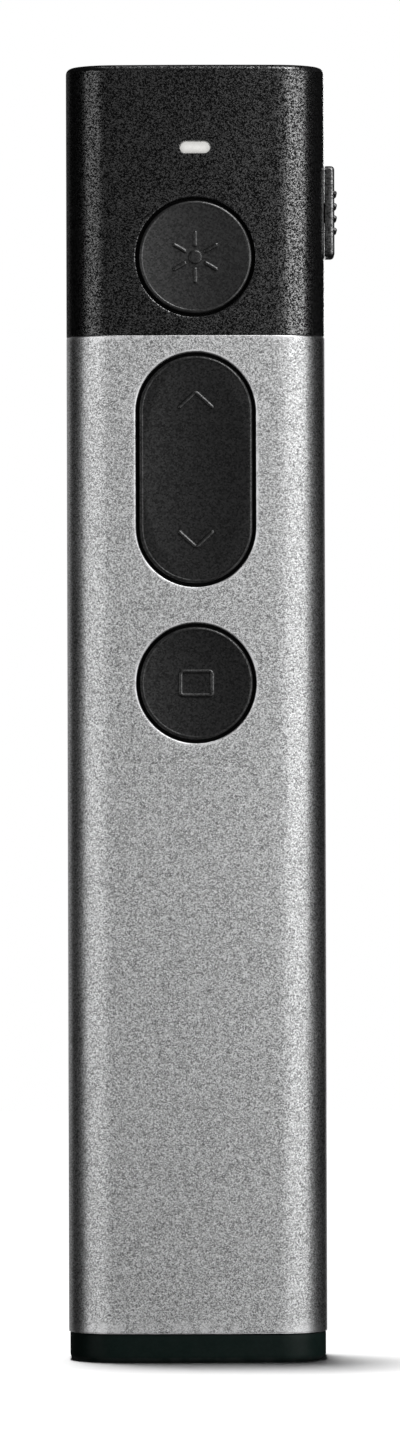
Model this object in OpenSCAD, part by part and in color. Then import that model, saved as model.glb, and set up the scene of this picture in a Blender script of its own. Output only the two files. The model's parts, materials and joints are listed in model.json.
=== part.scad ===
// Wireless presentation clicker, standing upright on its end cap.
// Millimetres. +Z runs up the body, the keys face -Y and the power knob is on +X.
// The origin is the centre of the base.

/* [Body] */
// Width across the two flat sides
body_w = 26; // [24.5:0.5:32]
// Thickness from the front crown to the back crown
body_t = 15; // [14.5:0.25:18]
// Height from the base to the top of the head
body_h = 130; // [108:1:160]
// Radius of the four long corners
corner_r = 5; // [4:0.25:5.5]
// Radius of the crowned front and back
crown_r = 150; // [100:10:200]

/* [Shells] */
// Wall of the sleeve and of the head's sides
shell_wall = 1.2; // [0.9:0.1:1.5]
// Height of the head, from its joint with the sleeve to the top
head_h = 27.1; // [26.6:0.1:32]
// Thickness of the head's top
head_top = 1.5; // [1.2:0.1:2]
// Rounding of the head's top edge
head_edge = 0.6; // [0.3:0.1:1]
// Height of the end cap
cap_h = 2.8; // [2.4:0.1:4]
// Thickness of the end cap's floor
cap_floor = 1.6; // [1.4:0.1:2]
// How far the end cap stands in from the sleeve
cap_inset = 0.13; // [0.05:0.01:0.3]
// Rounding of the end cap's lower edge
cap_edge = 0.7; // [0.3:0.1:1]
// Shadow gap between the end cap and the sleeve
cap_gap = 0.12; // [0.05:0.01:0.3]

/* [Chassis] */
// Clearance between the chassis and the shells around it
slide_gap = 0.1; // [0.05:0.01:0.2]
// Wall of the chassis
chassis_wall = 1.2; // [0.9:0.1:1.4]
// Depth of the key wells below the front crown
well_depth = 2.9; // [2.7:0.1:3.2]
// Thickness of a key well's floor
well_floor_t = 0.9; // [0.8:0.1:1.2]
// How much wider a key well is than the hole over it, all round
well_margin = 0.2; // [0.1:0.05:0.4]
// Where the side rails end, behind the centre plane
rail_back = 3.2; // [2.9:0.1:4]
// Height of the snap bead that holds the head
snap_out = 0.4; // [0.2:0.05:0.5]
// Width of the snap bead
snap_w = 3; // [2:0.5:4]
// How far the snap bead is below the top of the body
snap_drop = 7.4; // [6:0.1:8.5]
// Height of the snap bead along the body
snap_l = 1; // [0.6:0.1:1.4]

/* [Keys] */
// Diameter of the round key holes and width of the oval one
key_hole_d = 12; // [11:0.1:12.4]
// Gap between a key and the edge of its hole
key_gap = 0.35; // [0.2:0.05:0.5]
// Thickness of a key's top
key_t = 1.3; // [1.1:0.1:1.4]
// Depth of the dish in a key's face
key_dish = 0.25; // [0.1:0.05:0.4]
// Width of the rim round the dish
key_rim = 0.45; // [0.3:0.05:0.8]
// Length of the rocker's hole
rocker_l = 23.5; // [21:0.5:24]
// Laser key's centre below the top of the body
laser_drop = 19.3; // [18.8:0.1:19.8]
// Rocker's centre below the top of the body
rocker_drop = 40.6; // [40.5:0.1:42]
// Menu key's centre below the top of the body
menu_drop = 62; // [61.9:0.1:70]
// Diameter of a round key's guide stem
stem_d = 2.6; // [2.2:0.1:3]
// Running clearance round a stem, a plunger and the pivot pin
run_gap = 0.05; // [0.02:0.01:0.1]
// Width of a key's snap leg
leg_w = 1.8; // [1.4:0.1:2.2]
// Thickness of a key's snap leg
leg_t = 0.8; // [0.6:0.1:1]
// Distance from a round key's axis to the inside of a snap leg
leg_x = 3.1; // [2.9:0.1:3.4]
// How far a snap leg's barb hooks under the floor
barb_out = 0.35; // [0.2:0.05:0.5]
// Play under a barb when the key is up
barb_gap = 0.05; // [0.03:0.01:0.1]
// Height of a barb's sloped back
barb_h = 0.6; // [0.4:0.05:0.8]
// Height of a barb's upright edge
barb_tip = 0.15; // [0.1:0.05:0.3]
// How much wider a snap leg's slot is than the leg
leg_room = 0.3; // [0.2:0.05:0.4]

/* [Rocker pivot] */
// Diameter of the pivot pin
pivot_d = 1.2; // [1:0.1:1.4]
// Length of the pivot pin
pivot_l = 8; // [7:0.5:9]
// Height of the pin's axis above the well floor
pivot_up = 1.05; // [1:0.01:1.1]
// Wall of the lug round the pin
lug_wall = 0.3; // [0.2:0.05:0.35]
// How far the ears rise past the pin's axis, which keeps the pin in
ear_rise = 0.35; // [0.25:0.05:0.4]
// Width of the lug on the rocker that holds the pin
lug_w = 4; // [3:0.5:5]
// Width of each ear that carries the pin
ear_w = 1.5; // [1:0.1:2]
// Side clearance between the lug and an ear
ear_gap = 0.2; // [0.1:0.05:0.3]
// Diameter of the rocker's two nubs
nub_d = 2.4; // [2:0.1:3]
// Distance from the pivot to a nub
nub_reach = 7; // [6:0.1:7.5]
// Gap between a nub and the plunger under it
nub_gap = 0.06; // [0.05:0.01:0.1]
// Clearance round a nub in the well's floor
nub_room = 0.4; // [0.3:0.05:0.5]
// Length of an ear along the body
ear_l = 3.2; // [2.8:0.1:3.6]

/* [Switches] */
// Side of a tact switch's square body
tact_w = 4.5; // [4:0.1:5]
// Height of a tact switch's body
tact_h = 1.6; // [1.4:0.1:2]
// Diameter of a tact switch's plunger
plunger_d = 2.2; // [1.8:0.1:2.4]
// How far a plunger stands out of its body
plunger_up = 0.7; // [0.5:0.1:0.9]
// How deep a plunger reaches into its body
plunger_in = 0.6; // [0.5:0.1:0.8]
// Depth of the plunger's bore in the body
plunger_bore = 1.1; // [1.05:0.05:1.3]
// Rounding of a tact switch's corners
tact_edge = 0.4; // [0.2:0.1:0.6]
// Side of a tact switch's solder pad
pad_w = 0.7; // [0.5:0.1:0.9]
// Thickness of a solder pad
solder_t = 0.2; // [0.1:0.05:0.3]
// Distance of a solder pad from the middle of the switch, along the body
pad_z = 1.5; // [1.2:0.1:1.8]

/* [Power slide] */
// Length of the power knob along the body
knob_l = 9.2; // [8:0.1:10]
// Width of the power knob across the body's side
knob_w = 4.4; // [3.6:0.1:5]
// How far the knob stands out from the side
knob_out = 1.05; // [0.8:0.05:1.4]
// Rounding of the knob's corners
knob_edge = 0.3; // [0.15:0.05:0.5]
// Clearance between the knob and the head's side
knob_gap = 0.08; // [0.05:0.01:0.15]
// Number of grip ribs on the knob
rib_count = 4; // [2:1:6]
// Diameter of a grip rib
rib_d = 0.5; // [0.3:0.05:0.6]
// Spacing of the grip ribs
rib_pitch = 1.24; // [0.9:0.01:1.4]
// Knob's centre below the top of the body
power_drop = 14.4; // [14:0.1:15]
// Travel of the power knob, downwards to off
power_travel = 2; // [1.5:0.1:2.2]
// Length of the knob's stem along the body
post_l = 2; // [1.6:0.1:2.4]
// Width of the knob's stem
post_w = 1.6; // [1.2:0.1:2]
// Thickness of the slide switch's body
slide_h = 1.7; // [1.5:0.1:2]
// Width of the slide switch's body
slide_w = 3.4; // [3:0.1:4]
// Length of the slide switch's body
slide_l = 8; // [7:0.5:8.5]
// Length of the slide switch's lever along the body
lever_l = 1.1; // [0.8:0.1:1.4]
// Thickness of the slide switch's lever
lever_t = 0.8; // [0.6:0.1:1]
// How far the lever reaches into the knob's foot
lever_in = 0.2; // [0.1:0.05:0.25]
// How much larger the knob's foot is than its stem
foot_more = 1; // [0.6:0.1:1.2]
// Extra room round the knob's foot in the side rail
foot_room = 0.2; // [0.1:0.05:0.3]

/* [Status light] */
// Width of the light window
lamp_w = 3; // [2:0.1:4]
// Height of the light window
lamp_h = 1.15; // [0.8:0.05:1.6]
// Light window's centre below the top of the body
lamp_drop = 8.3; // [7.8:0.1:8.8]
// Fit gap round the light pipe
lamp_gap = 0.04; // [0.02:0.01:0.1]
// How far the light pipe's flange stands out, all round
flange_out = 0.6; // [0.4:0.1:0.8]
// Width of the lamp on the board
led_w = 1.6; // [1:0.1:2]
// Height of the lamp on the board
led_h = 0.8; // [0.6:0.1:1]
// Thickness of the lamp on the board
led_t = 0.6; // [0.4:0.1:0.8]
// Gap between the lamp and the light pipe
led_gap = 0.3; // [0.1:0.1:0.4]

/* [Laser] */
// Diameter of the laser barrel
barrel_d = 5; // [4.6:0.1:5.2]
// Length of the laser barrel
barrel_l = 10; // [9:0.5:10]
// Gap between the barrel and the head's top
barrel_drop = 1.5; // [1:0.1:2]
// Diameter of the laser's window
window_d = 4; // [3:0.1:4.6]
// Thickness of the laser's window
window_t = 0.6; // [0.4:0.1:0.8]
// Diameter of the hole that the beam leaves by
beam_d = 3; // [2:0.1:3.4]
// How far the laser's window lies below the top
window_in = 0.1; // [0.05:0.05:0.2]
// Gap between the board and the laser barrel
barrel_up = 0.8; // [0.7:0.1:1]
// Wall of the laser barrel round the diode's can
can_wall = 0.9; // [0.8:0.1:1]
// Wall of the laser barrel round the diode's flange
flange_wall = 0.4; // [0.3:0.1:0.5]
// Wall of the laser barrel round the lens
lens_wall = 0.5; // [0.4:0.1:0.6]
// Depth of the lens's seat in the barrel
lens_room = 2; // [1.5:0.1:2.5]
// Depth of the diode's seat in the barrel
diode_room = 3; // [2.6:0.1:3.4]

/* [Board and battery] */
// Width of the main board
board_w = 20; // [18:0.5:20.5]
// Thickness of the main board
board_t = 1; // [0.8:0.1:1.2]
// Gap between the main board's ends and what is over and under it
board_end = 0.4; // [0.2:0.1:0.6]
// Rounding of the main board's corners
board_edge = 0.6; // [0.3:0.1:1]
// Gap between the main board and the receiver bay
board_air = 0.2; // [0.1:0.05:0.3]
// Length of the battery cell
battery_l = 50; // [36:1:52]
// Width of the battery cell
battery_w = 16; // [12:0.5:18]
// Thickness of the battery cell
battery_t = 4.6; // [3.6:0.1:5]
// Thickness of the foam pad under the battery
pad_t = 1; // [0.9:0.1:1.1]
// Height of the battery's lower end above the receiver bay
battery_up = 5; // [3:0.5:6]
// How far the foam pad stays inside the cell's outline
pad_in = 2; // [1:0.5:3]
// Length of the leads from the cell to their connector
lead_h = 4; // [3:0.5:5]
// Thickness of a lead
lead_d = 1; // [0.8:0.1:1.2]
// Distance of each lead from the centre line
lead_x = 1.25; // [1:0.05:1.5]
// Width of the leads' connector
plug_block_w = 5.4; // [4.8:0.1:6]
// Thickness of the leads' connector
plug_block_t = 3; // [2.6:0.1:3.2]
// Height of the leads' connector
plug_block_h = 3.4; // [3:0.1:4]

/* [Base sockets] */
// Width of the charging socket's shell
usb_w = 8.94; // [8.34:0.05:9.2]
// Thickness of the charging socket's shell
usb_t = 3.16; // [2.56:0.05:3.3]
// Length of the charging socket's shell
usb_l = 7.35; // [6.5:0.05:9]
// Wall of the charging socket's shell
usb_wall = 0.3; // [0.2:0.05:0.4]
// How deep the sockets' mouths sit in the base
mouth_in = 0.3; // [0.2:0.1:0.6]
// Width of the stored receiver's housing
receiver_w = 14; // [13:0.1:14.5]
// Thickness of the stored receiver's housing
receiver_t = 4.8; // [4.6:0.1:4.9]
// Length of the stored receiver's housing
receiver_l = 6.6; // [5:0.1:9]
// Width of the receiver's plug
plug_w = 12; // [11.5:0.1:12]
// Thickness of the receiver's plug
plug_t = 4.5; // [4:0.1:4.5]
// Length of the receiver's plug outside the housing
plug_l = 12; // [10:0.5:14]
// Wall of the receiver's plug
plug_wall = 0.3; // [0.2:0.05:0.4]
// Floor of the receiver's plug and back of the charging socket
plug_back = 0.4; // [0.3:0.1:0.6]
// Sliding gap round the stored receiver
receiver_gap = 0.1; // [0.05:0.01:0.15]
// Rounding of the receiver's long edges
receiver_edge = 1; // [0.6:0.1:1.4]
// Front wall of the receiver bay
bay_wall = 0.5; // [0.4:0.1:0.6]
// Side wall of the receiver bay
bay_side = 0.7; // [0.6:0.1:1]
// Closed end of the receiver bay
bay_roof = 1.3; // [1:0.1:2]

/* [Fasteners] */
// Diameter of a screw's shank
screw_d = 1.6; // [1.4:0.1:1.8]
// Diameter of a screw's head
screw_head_d = 3; // [2.6:0.1:3.2]
// Height of a screw's head
screw_head_h = 0.8; // [0.6:0.1:0.9]
// Length of a screw's shank
screw_l = 4; // [3:0.5:5]
// Gap round a screw's shank in its pilot hole
screw_gap = 0.02; // [0.01:0.01:0.05]
// Diameter of a screw boss
boss_d = 3.2; // [3:0.1:3.4]
// Distance of the board screws from the centre line
boss_x = 7.4; // [7:0.1:7.5]
// Height of the lower board screws above the receiver bay
boss_low = 3; // [2.5:0.1:3.2]
// Height of the upper board screws above the battery
boss_high = 12; // [11:0.5:14]
// Distance of the cap screws behind the centre plane
post_y = 1.4; // [1.2:0.1:1.6]
// Height of the posts for the cap screws above the cap's floor
post_h = 7; // [6:0.5:8]
// Width across flats of a screw head's socket, over its corners
hex_d = 1.5; // [1.2:0.1:1.7]
// Depth of a screw head's socket
hex_in = 0.4; // [0.3:0.1:0.5]

/* [Hidden] */
$fn = 72;
skin = 0.01;
seam = 0.001;
past = 1;

front = -body_t / 2;
back = body_t / 2;
side = body_w / 2;

corner_x = side - corner_r;
crown_y = crown_r - body_t / 2;
corner_y = sqrt(pow(crown_r - corner_r, 2) - pow(corner_x, 2)) - crown_y + seam;
tangent_a = atan2(corner_y + crown_y, corner_x);

sleeve_z = cap_h + cap_gap;
head_z = body_h - head_h;
laser_z = body_h - laser_drop;
rocker_z = body_h - rocker_drop;
menu_z = body_h - menu_drop;
power_z = body_h - power_drop;
lamp_z = body_h - lamp_drop;
snap_z = body_h - snap_drop;

chassis_inset = shell_wall + slide_gap;
chassis_side = side - chassis_inset;
chassis_top = body_h - head_top - slide_gap;
slab_back = front + chassis_inset + chassis_wall;
channel_x = chassis_side - chassis_wall;
well_floor = front + well_depth;
floor_back = well_floor + well_floor_t;
well_d = key_hole_d + 2 * well_margin;
well_l = rocker_l + 2 * well_margin;
well_wall = chassis_wall - well_margin;

key_d = key_hole_d - 2 * key_gap;
key_l = rocker_l - 2 * key_gap;
key_under = front + key_t;
pivot_y = well_floor - pivot_up;
lug_d = pivot_d + 2 * lug_wall;

tact_top = floor_back + plunger_up;
board_front = tact_top + tact_h;
board_back = board_front + board_t;
board_z = cap_floor + board_end;
board_top = chassis_top - board_end;

bay_front = board_back + board_air;
receiver_y = bay_front + bay_wall + receiver_gap + receiver_t / 2;
receiver_top = mouth_in + receiver_l + plug_l;
bay_top = receiver_top + receiver_gap + bay_roof;
bay_x = receiver_w / 2 + receiver_gap + bay_side;
bay_step = mouth_in + receiver_l + 2 * receiver_gap;

post_x = (bay_x + chassis_side) / 2;
post_top = cap_floor + post_h;

battery_z = bay_top + battery_up;
battery_y = board_back + pad_t;
battery_mid = battery_y + battery_t / 2;
battery_top = battery_z + battery_l;
connector_y = board_back + plug_block_t / 2;

usb_y = board_front - usb_t / 2;
barrel_y = board_back + barrel_up + barrel_d / 2;
barrel_top = body_h - head_top - barrel_drop;
barrel_z = barrel_top - barrel_l;

boss_zs = [bay_top + boss_low, battery_top + boss_high];
chips_z = head_z - 3;

power_y = board_back + slide_h / 2;
foot_l = post_l + foot_more;
foot_w = post_w + foot_more;
foot_x = side - shell_wall - knob_gap;
slide_x = board_w / 2;

black = "#202224";
steel = "#b9bcc0";
gold = "#c9a24c";

// The body's cross-section, moved inwards by inset: flat sides, crowned front and back, and
// corner arcs that run on from both. The arcs stand out of the crown by the seam, a thousandth
// of a millimetre, so that the two meet at one clear edge.
module section(inset) {
  tangent_x = corner_x * (crown_r - inset) / (crown_r - corner_r);
  square([2 * (side - inset), 2 * corner_y], center = true);
  intersection() {
    translate([0, crown_y]) circle(crown_r - inset);
    translate([0, -crown_y]) circle(crown_r - inset);
    square([2 * tangent_x, 2 * body_t], center = true);
  }
  for (x = [-corner_x, corner_x], y = [-corner_y, corner_y]) {
    translate([x, y]) circle(corner_r - inset);
  }
}

function arc(x, y, r, from, to, steps) = [
  for (i = [0 : steps])
    let (a = from + (to - from) * i / steps)
      [x + r * cos(a), y + r * sin(a)]
];

// The same cross-section as a line of points, for the rounded end edges.
function outline(inset) = let (r = corner_r - inset, big = crown_r - inset, t = tangent_a) concat(
  arc(corner_x, corner_y, r, 0, t, 6),
  arc(0, -crown_y, big, t, 180 - t, 5),
  arc(-corner_x, corner_y, r, 180 - t, 180, 6),
  arc(-corner_x, -corner_y, r, 180, 180 + t, 6),
  arc(0, crown_y, big, 180 + t, 360 - t, 5),
  arc(corner_x, -corner_y, r, 360 - t, 360, 6)
);

module prism(inset, from, to) {
  translate([0, 0, from]) linear_extrude(to - from) section(inset);
}

// A rounded end on the cross-section: quarter-circle slices of radius edge, downwards from z.
module rounded_end(inset, edge, z) {
  translate([0, 0, z]) hull() for (a = [0 : 22.5 : 90]) {
    translate([0, 0, -edge * (1 - cos(a))]) mirror([0, 0, 1]) {
      linear_extrude(edge) polygon(outline(inset + skin + edge * (1 - sin(a))));
    }
  }
}

// Extrudes a drawing of the front view from one depth to another.
module through_front(from, to) {
  translate([0, to, 0]) rotate([90, 0, 0]) linear_extrude(to - from) children();
}

// Extrudes a drawing of the right side view outwards.
module through_side(from, to) {
  translate([from, 0, 0]) rotate([90, 0, 90]) linear_extrude(to - from) children();
}

// A slot with round ends: width across, length up.
module stadium(width, length) {
  for (y = [-1, 1]) translate([0, y * (length - width) / 2]) circle(d = width);
  square([width, length - width], center = true);
}

module pill(width, height) {
  rotate(90) stadium(height, width);
}

module rounded_rect(width, height, r) {
  square([width - 2 * r, height], center = true);
  square([width, height - 2 * r], center = true);
  for (x = [-1, 1], y = [-1, 1]) {
    translate([x * (width / 2 - r), y * (height / 2 - r)]) circle(r);
  }
}

module box(x0, x1, y0, y1, z0, z1) {
  translate([x0, y0, z0]) cube([x1 - x0, y1 - y0, z1 - z0]);
}

// ---- shells ----

module sleeve() {
  color("#8b8d90") difference() {
    prism(0, sleeve_z, head_z);
    prism(shell_wall, sleeve_z - past, head_z + past);
    through_front(front - past, 0) translate([0, rocker_z]) stadium(key_hole_d, rocker_l);
    through_front(front - past, 0) translate([0, menu_z]) circle(d = key_hole_d);
  }
}

module head_shell() {
  color(black) difference() {
    union() {
      prism(0, head_z, body_h - head_edge);
      rounded_end(0, head_edge, body_h);
    }
    prism(shell_wall, head_z - past, body_h - head_top);
    through_front(front - past, 0) translate([0, laser_z]) circle(d = key_hole_d);
    through_front(front - past, 0) translate([0, lamp_z]) {
      pill(lamp_w + 2 * lamp_gap, lamp_h + 2 * lamp_gap);
    }
    translate([0, barrel_y, body_h - head_top - past]) cylinder(d = beam_d, h = head_top + 2 * past);
    translate([0, barrel_y, body_h - window_t - lamp_gap]) {
      cylinder(d = window_d + 2 * lamp_gap, h = window_t + past);
    }
    power_slot(side - shell_wall - past, side + past);
    for (x = [-1, 1]) {
      translate([x * (side - shell_wall), 0, snap_z]) {
        cube([2 * (snap_out + slide_gap), snap_w + 2 * slide_gap, snap_l + 2 * slide_gap], center = true);
      }
    }
  }
}

// The way that the knob's stem slides in, from on down to off.
module power_slot(from, to) {
  length = post_l + power_travel + 2 * slide_gap;
  through_side(from, to) translate([power_y, power_z - power_travel / 2]) {
    square([post_w + 2 * slide_gap, length], center = true);
  }
}

module end_cap() {
  color(black) difference() {
    union() {
      prism(cap_inset, cap_edge, cap_h);
      mirror([0, 0, 1]) rounded_end(cap_inset, cap_edge, 0);
    }
    prism(shell_wall, cap_floor, cap_h + past);
    translate([0, usb_y, -past]) linear_extrude(cap_floor + 2 * past) {
      pill(usb_w + 2 * slide_gap, usb_t + 2 * slide_gap);
    }
    translate([0, receiver_y, -past]) linear_extrude(cap_floor + 2 * past) receiver_outline(receiver_gap);
    for (x = [-1, 1]) translate([x * post_x, post_y, 0]) {
      translate([0, 0, -past]) cylinder(d = screw_d + 4 * screw_gap, h = cap_floor + 2 * past);
      translate([0, 0, -past]) cylinder(d = screw_head_d + 2 * slide_gap, h = past + screw_head_h + mouth_in);
    }
    nail_notch();
  }
}

// The thumbnail notch behind the receiver's slot.
module nail_notch() {
  notch_r = 3.6;
  notch_in = 1;
  translate([0, receiver_y, notch_in - notch_r]) rotate([-90, 0, 0]) cylinder(r = notch_r, h = body_t);
}

// ---- chassis ----

module key_wells(margin) {
  for (z = [laser_z, menu_z]) translate([0, z]) circle(d = well_d + 2 * margin);
  translate([0, rocker_z]) stadium(well_d + 2 * margin, well_l + 2 * margin);
}

module chassis() {
  color(black) {
    difference() {
      union() {
        chassis_channel();
        intersection() {
          union() {
            through_front(front, floor_back) key_wells(well_wall);
            board_bosses();
          }
          prism(chassis_inset, cap_floor, chassis_top);
        }
        receiver_bay();
        for (x = [-1, 1]) {
          translate([x * chassis_side, 0, snap_z]) cube([2 * snap_out, snap_w, snap_l], center = true);
        }
      }
      through_front(front - past, well_floor) key_wells(0);
      for (z = [laser_z, menu_z]) translate([0, 0, z]) round_key_passages();
      for (z = [-nub_reach, nub_reach]) {
        through_front(front, 0) translate([0, rocker_z + z]) circle(d = nub_d + 2 * nub_room);
      }
      through_front(front - past, 0) translate([0, lamp_z]) {
        pill(lamp_w + 2 * lamp_gap, lamp_h + 2 * lamp_gap);
      }
      power_window();
      receiver_cavity();
      for (x = [-1, 1]) translate([x * post_x, post_y, cap_floor - past]) {
        cylinder(d = screw_d + 2 * screw_gap, h = past + screw_l);
      }
      for (x = [-boss_x, boss_x], z = boss_zs) {
        through_front(board_front - screw_l + board_t, board_front + past) translate([x, z]) {
          circle(d = screw_d + 2 * screw_gap);
        }
      }
    }
    rocker_ears();
  }
}

// The front slab and side rails: the cross-section hollowed by one wall and cut off behind.
module chassis_channel() {
  difference() {
    prism(chassis_inset, cap_floor, chassis_top);
    prism(chassis_inset + chassis_wall, cap_floor - past, chassis_top + past);
    box(-side, side, rail_back, back, cap_floor - past, chassis_top + past);
  }
}

module board_bosses() {
  for (x = [-boss_x, boss_x], z = boss_zs) {
    through_front(slab_back - chassis_wall / 2, board_front) translate([x, z]) circle(d = boss_d);
  }
}

module receiver_bay() {
  intersection() {
    prism(chassis_inset, cap_floor, bay_top);
    union() {
      box(-bay_x, bay_x, bay_front, back, cap_floor, bay_top);
      for (x = [-1, 1]) {
        translate([x * (bay_x + channel_x) / 2, (bay_front + rail_back) / 2, (cap_floor + post_top) / 2]) {
          cube([channel_x - bay_x + 2 * skin, rail_back - bay_front, post_top - cap_floor], center = true);
        }
      }
    }
  }
}

module receiver_outline(gap) {
  rounded_rect(receiver_w + 2 * gap, receiver_t + 2 * gap, receiver_edge);
}

// The receiver's room: the housing's outline below and the narrower plug's above.
module receiver_cavity() {
  translate([0, receiver_y, cap_floor - past]) {
    linear_extrude(bay_step - cap_floor + past) receiver_outline(receiver_gap);
    linear_extrude(receiver_top + receiver_gap - cap_floor + past) {
      square([plug_w + 4 * receiver_gap, receiver_t + 2 * receiver_gap], center = true);
    }
  }
}

// Guide bore for the stem and a slot for each snap leg.
module round_key_passages() {
  through_front(front, 0) {
    circle(d = stem_d + 2 * run_gap);
    for (x = [-1, 1]) {
      translate([x * (leg_x + (leg_t + barb_out) / 2), 0]) {
        square([leg_t + barb_out + leg_room, leg_w + leg_room], center = true);
      }
    }
  }
}

// The opening in the side rail for the switch's lever and the knob's foot.
module power_window() {
  length = foot_l + power_travel + 2 * slide_gap + foot_more;
  through_side(channel_x - past, chassis_side + past) translate([power_y, power_z - power_travel / 2]) {
    square([foot_w + 2 * (slide_gap + foot_room), length], center = true);
  }
}

// Two ears that stand on the rocker well's floor, each with an open bearing for the pin.
module rocker_ears() {
  ear_x = lug_w / 2 + ear_gap + ear_w / 2;
  ear_up = pivot_up + ear_rise;
  for (x = [-ear_x, ear_x]) {
    through_side(x - ear_w / 2, x + ear_w / 2) translate([well_floor, rocker_z]) difference() {
      translate([-ear_up, -ear_l / 2]) square([ear_up + skin, ear_l]);
      translate([-pivot_up, 0]) circle(d = pivot_d + 2 * run_gap);
    }
  }
}

// ---- keys ----

// A shallow dish in a key's face, cut by a ball that touches the rim's inner edge.
module dish(reach) {
  ball_r = dish_r(reach);
  translate([0, front + key_dish - ball_r, 0]) sphere(ball_r, $fn = 200);
}

function dish_r(reach) = (pow(reach, 2) + pow(key_dish, 2)) / (2 * key_dish);

module snap_leg() {
  foot = floor_back + barb_gap;
  box(leg_x, leg_x + leg_t, key_under - skin, foot + barb_h, -leg_w / 2, leg_w / 2);
  translate([0, 0, -leg_w / 2]) linear_extrude(leg_w) polygon([
    [leg_x + leg_t - skin, foot], [leg_x + leg_t + barb_out, foot],
    [leg_x + leg_t + barb_out, foot + barb_tip], [leg_x + leg_t - skin, foot + barb_h]
  ]);
}

module round_keycap() {
  difference() {
    through_front(front, key_under) circle(d = key_d);
    dish(key_d / 2 - key_rim);
  }
  through_front(key_under - skin, floor_back) circle(d = stem_d);
  snap_leg();
  mirror([1, 0, 0]) snap_leg();
}

module laser_keycap() {
  color(black) translate([0, 0, laser_z]) round_keycap();
}

module menu_keycap() {
  color(black) translate([0, 0, menu_z]) round_keycap();
}

module rocker_keycap() {
  reach = key_d / 2 - key_rim;
  run = key_l / 2 - key_rim - reach;
  ball_r = dish_r(reach);
  color(black) translate([0, 0, rocker_z]) difference() {
    union() {
      through_front(front, key_under) stadium(key_d, key_l);
      through_side(-lug_w / 2, lug_w / 2) {
        translate([pivot_y, 0]) circle(d = lug_d);
        translate([key_under - skin, -lug_d / 2]) square([pivot_y - key_under + skin, lug_d]);
      }
      for (z = [-nub_reach, nub_reach]) {
        through_front(key_under - skin, floor_back - nub_gap) translate([0, z]) circle(d = nub_d);
      }
    }
    translate([0, front + key_dish - ball_r, -run]) cylinder(r = ball_r, h = 2 * run, $fn = 200);
    for (z = [-run, run]) translate([0, 0, z]) dish(reach);
    through_side(-pivot_l / 2, pivot_l / 2) translate([pivot_y, 0]) circle(d = pivot_d);
  }
}

module rocker_pin() {
  color(steel) translate([0, pivot_y, rocker_z]) rotate([0, 90, 0]) {
    cylinder(d = pivot_d, h = pivot_l, center = true);
  }
}

// ---- tact switches ----

module tact_switch(z) {
  pad_lap = 0.05;
  color("#3a3d40") difference() {
    union() {
      through_front(tact_top, board_front) translate([0, z]) rounded_rect(tact_w, tact_w, tact_edge);
      for (x = [-1, 1], dz = [-pad_z, pad_z]) {
        translate([x * (tact_w + pad_w) / 2 - x * pad_lap, board_front - solder_t / 2, z + dz]) {
          cube([pad_w, solder_t, pad_w], center = true);
        }
      }
    }
    through_front(tact_top - past, tact_top + plunger_bore) translate([0, z]) {
      circle(d = plunger_d + 2 * run_gap);
    }
  }
}

module plunger(z) {
  color("#5b5f63") through_front(floor_back, tact_top + plunger_in) translate([0, z]) circle(d = plunger_d);
}

module laser_switch() {
  tact_switch(laser_z);
}

module page_up_switch() {
  tact_switch(rocker_z + nub_reach);
}

module page_down_switch() {
  tact_switch(rocker_z - nub_reach);
}

module menu_switch() {
  tact_switch(menu_z);
}

module laser_plunger() {
  plunger(laser_z);
}

module page_up_plunger() {
  plunger(rocker_z + nub_reach);
}

module page_down_plunger() {
  plunger(rocker_z - nub_reach);
}

module menu_plunger() {
  plunger(menu_z);
}

// ---- power slide ----

module power_knob() {
  face = side + knob_out;
  inside = side + knob_gap;
  foot_t = 0.92;
  color(black) translate([0, 0, power_z]) difference() {
    union() {
      through_side(inside, face) rounded_rect(knob_w, knob_l, knob_edge);
      for (i = [0 : rib_count - 1]) {
        translate([face, 0, (i - (rib_count - 1) / 2) * rib_pitch]) rotate([90, 0, 0]) {
          cylinder(d = rib_d, h = knob_w - 2 * knob_edge, center = true);
        }
      }
      translate([0, power_y, 0]) {
        through_side(foot_x - skin, inside + skin) square([post_w, post_l], center = true);
        through_side(foot_x - foot_t, foot_x) square([foot_w, foot_l], center = true);
      }
    }
    translate([0, power_y, 0]) {
      through_side(channel_x - past, foot_x - lever_in) square([lever_t, lever_l], center = true);
    }
  }
}

module power_lever() {
  lever_root = 0.8;
  color("#3a3d40") translate([0, power_y, power_z]) {
    through_side(slide_x - slide_w + lever_root, foot_x - lever_in) square([lever_t, lever_l], center = true);
  }
}

module power_switch_body() {
  room = 0.5;
  color(steel) difference() {
    through_side(slide_x - slide_w, slide_x) translate([power_y, power_z - power_travel / 2]) {
      square([slide_h, slide_l], center = true);
    }
    through_side(slide_x - slide_w + room, slide_x + past) {
      translate([power_y, power_z - power_travel / 2]) {
        square([lever_t + 2 * slide_gap, lever_l + power_travel + 2 * slide_gap], center = true);
      }
    }
  }
}

// ---- light and laser ----

module status_lamp() {
  color("#f4f2d8") through_front(board_front - led_t, board_front) translate([0, lamp_z]) {
    square([led_w, led_h], center = true);
  }
}

// A clear pipe from the lamp to the window, with a flange behind the chassis slab.
module light_pipe() {
  color("#e9f1f5") {
    through_front(front, board_front - led_t - led_gap) translate([0, lamp_z]) pill(lamp_w, lamp_h);
    through_front(slab_back + lamp_gap, slab_back + flange_out) translate([0, lamp_z]) {
      pill(lamp_w + 2 * flange_out, lamp_h + 2 * flange_out);
    }
  }
}

module laser_window() {
  color("#8a1f1f") translate([0, barrel_y, body_h - window_t]) cylinder(d = window_d, h = window_t - window_in);
}

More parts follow.
